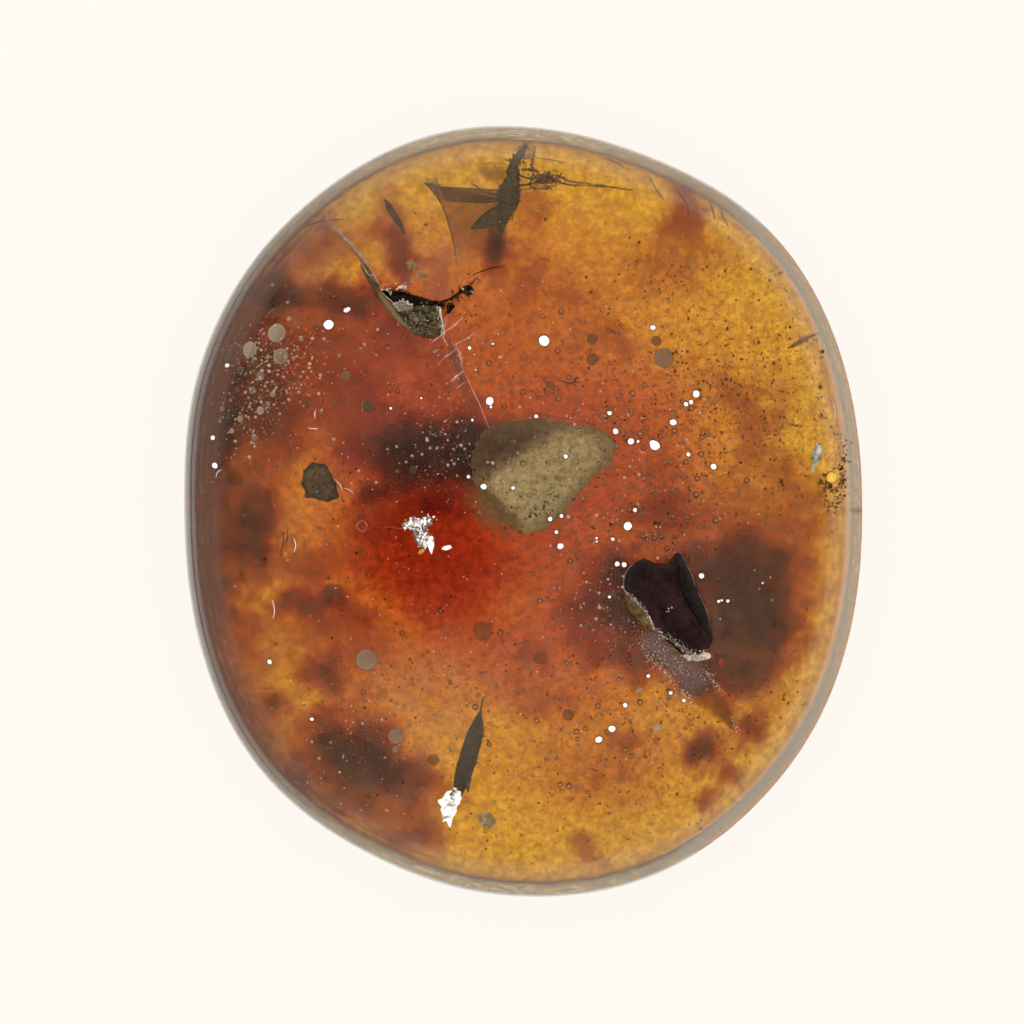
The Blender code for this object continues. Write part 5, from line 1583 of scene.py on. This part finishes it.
def rim_skin(rows, start, lift):
    """A skin just off the rim's dome from a share of the rim outwards, strongest at the rows' turns."""
    turn, row = np.meshgrid(np.linspace(0, 2 * np.pi, 361), np.linspace(0, 1, 7), indexing="ij")
    radius = (start + (RIM_SKIN_END - start) * row) * rim_radius(turn)
    x, y = radius * np.cos(turn), radius * np.sin(turn)
    top = np.stack([x, y, dome_top(x, y) + lift], -1)
    bells = 0
    for middle, spread, strength in rows:
        bells = bells + strength * np.exp(-((turn_gap(np.degrees(turn), middle) / spread) ** 2))
    cover = (0.02 + bells) * swell(row, 0, 0.5)
    return pillow(top, top - [0, 0, 0.01]), {"frost": pillow_values(cover)}


def rim_finish(name, colour):
    """A patchy skin along the rim that scatters light: pale for fine scratches and for painted light, dark brown
    for painted shade.
    """
    made, tree = new_material(name)
    noise = grains(tree, 0.6, 6.0, 0.8)
    patchy = add(tree, "MapRange", From_Min=0.3, From_Max=0.7, To_Max=1.5, Value=noise)
    cover = add(tree, "Math", TIMES, "frost", patchy)
    solid = add(tree, "BsdfPrincipled", Base_Color=colour, Roughness=0.8, Specular_IOR_Level=0.2)
    return skin_over(made, cover, solid)


def ring_mark(x, y, radius):
    """A thin ring that a burst bubble left in the polish."""
    turn = np.linspace(0, 2 * np.pi, 25)
    path = np.stack([x + radius * np.cos(turn), y + radius * np.sin(turn), 0 * turn], -1)
    return tube(path, 0.02, 5)


def dust():
    """Tiny white grains left on the polish."""
    chance = np.random.default_rng(311)
    places = chance.normal(size=(SURFACE_DUST, 2)) * [7.0, 8.0]
    places = np.concatenate([places, swarm(DOT_SWARMS, 400, 312)])
    places = places[share_at(*places.T) < 0.93]
    spots = np.column_stack([places, stone_top(*places.T)])
    return scattered(octahedron, spots, mostly_small(chance, len(places), 0.008, 0.022, 3), 313)


# Brown plant film and a sheen of split resin near the right rim, with dirt strewn along it
sliver_skin = tinted_film("brown_sliver_skin", "#C8AA88", "#8A6A3C", 0.45, 0.3, None, 0.6)
sliver, values = band(SLIVER_TOP, SLIVER_LOW, 0.08, 30, 12, 0.3, 301)
make_piece("rim_sliver", sink(sliver), sliver_skin, values)
sheen_tones = ((0.38, "#4A4636"), (0.48, "#8C8870"), (0.56, "#A89C88"), (0.64, "#E8E4D4"))
sheen = mineral("sheen_skin", sheen_tones, 0.4, 0.8, 0.5, 0.3)
rim_flake = flake(SHEEN_FLAKE, 0.1, 20, 0.12, 0.5, 0.2, 3.0, 302)[0]
make_piece("rim_flake", laid(rim_flake, 0.02), sheen)
crumbs = strewn(RIM_CRUMBS, 320, 330)
for number, (x, y, radius) in enumerate(RIM_BLOBS):
    crumbs.append(lump((x, y, 0), (radius, 0.85 * radius, 0.05), 50 * number, 0.25, 340 + number, 6, 10))
dirt_tones = ((0.38, "#1A110A"), (0.5, "#4A3218"), (0.64, "#8A6A34"))
rim_dirt = mineral("rim_dirt", dirt_tones, 0.3, 0.5, 0.8, 0.1)
make_piece("rim_crumbs", laid(joined(crumbs)), rim_dirt)
# Pale scratches, and painted highlights along the top of the rim
make_piece("pale_scratches_and_highlights", laid(joined(hairs(PALE_SCRATCHES_AND_HIGHLIGHTS, 0.02)), 0.01), white_dust_and_highlights)
# A pale skin on the rim: frost of fine scratches on the ground flank, painted light on the top and bottom of the
# rim
frost, values = rim_skin(FROST_AND_PAINTED_LIGHT, FROST_FROM, 0.04)
make_piece("rim_frost_and_painted_light", frost, rim_finish("scratch_frost_and_painted_light", "#C6B496"), values)
# A dull brown skin that paints shade on the left side of the rim
painted_shade_skin, values = rim_skin(PAINTED_RIM_SHADE, PAINTED_SHADE_FROM, 0.02)
make_piece("rim_painted_shade", painted_shade_skin, rim_finish("dull_brown_painted_shade", "#6A4838"), values)

# The large bubble at the right rim has a golden skin
gold = tinted_film("bubble_gold_skin", "#FFF0C0", "#E8C050", 0.85, 0.3, None, 0.3)
gold_edge = [(15.12 + 0.3 * math.cos(a / 2), 1.62 + 0.3 * math.sin(a / 2)) for a in range(12)]
gold_disc, values = flake(gold_edge, 0.1, 10, 0.02, seed=303)
make_piece("gold_bubble_skin", laid(gold_disc, 0.05), gold, values)
make_piece("ring_mark", laid(ring_mark(*RING_MARK)), ridge_dust)
make_piece("surface_dust", dust(), lime)


# ---------------------------------------------------------------- stage, light and camera
CAMERA_LENS = 710
CAMERA_PLACE = (-0.567, -0.074, 1000)
FLOOR_DROP = 0.2
FLOOR_GLOW = 0.93
HORIZON_LIGHT = 0.6
ZENITH_LIGHT = 0.04
ROOM_LIGHT = 1.5


def stage():
    """A glowing white table under an even white room; only what the stone mirrors from above is dark."""
    bpy.ops.mesh.primitive_plane_add(size=6, location=(0, 0, -FLOOR_DROP * MM))
    floor = bpy.context.object
    floor.name = "floor"
    made, tree = new_material("light_table")
    matt = {"Base_Color": (0.05, 0.05, 0.05, 1), "Roughness": 0.9, "Specular_IOR_Level": 0.0}
    shine = add(tree, "BsdfPrincipled", Emission_Color="#FFFBF3", Emission_Strength=FLOOR_GLOW, **matt)
    add(tree, "OutputMaterial", Surface=shine)
    made.cycles.emission_sampling = "NONE"
    floor.data.materials.append(made)

    world = bpy.data.worlds.new("soft_room")
    world.use_nodes = True
    world.cycles.sampling_method = "NONE"
    bpy.context.scene.world = world
    tree = world.node_tree
    back = tree.nodes["Background"]
    back.inputs["Color"].default_value = linear("#FFFCF6")
    up = add(tree, "SeparateXYZ", Vector=add(tree, "TexCoord").outputs["Generated"]).outputs["Z"]
    fade = {"From_Max": 0.22, "To_Min": HORIZON_LIGHT, "To_Max": ZENITH_LIGHT}
    fade = add(tree, "MapRange", Value=up, **fade)
    ray = add(tree, "LightPath").outputs
    bent = add(tree, "Math", LESS, 1.0, ray["Is Transmission Ray"])
    mirrored = add(tree, "Math", TIMES, ray["Is Glossy Ray"], bent)
    pick = add(tree, "Mix", Factor=mirrored, A=ROOM_LIGHT, B=fade)
    tree.links.new(pick.outputs[0], back.inputs["Strength"])

    camera = bpy.data.cameras.new("camera")
    camera.lens = CAMERA_LENS
    camera.sensor_width = 36
    camera.clip_start = 0.05
    camera.clip_end = 10
    holder = bpy.data.objects.new("camera", camera)
    holder.location = [part * MM for part in CAMERA_PLACE]
    bpy.context.scene.collection.objects.link(holder)
    bpy.context.scene.camera = holder


stage()
scene = bpy.context.scene
scene.view_settings.view_transform = "Standard"
scene.cycles.transparent_max_bounces = 32
scene.cycles.max_bounces = 10
scene.cycles.transmission_bounces = 10
scene.cycles.diffuse_bounces = 2
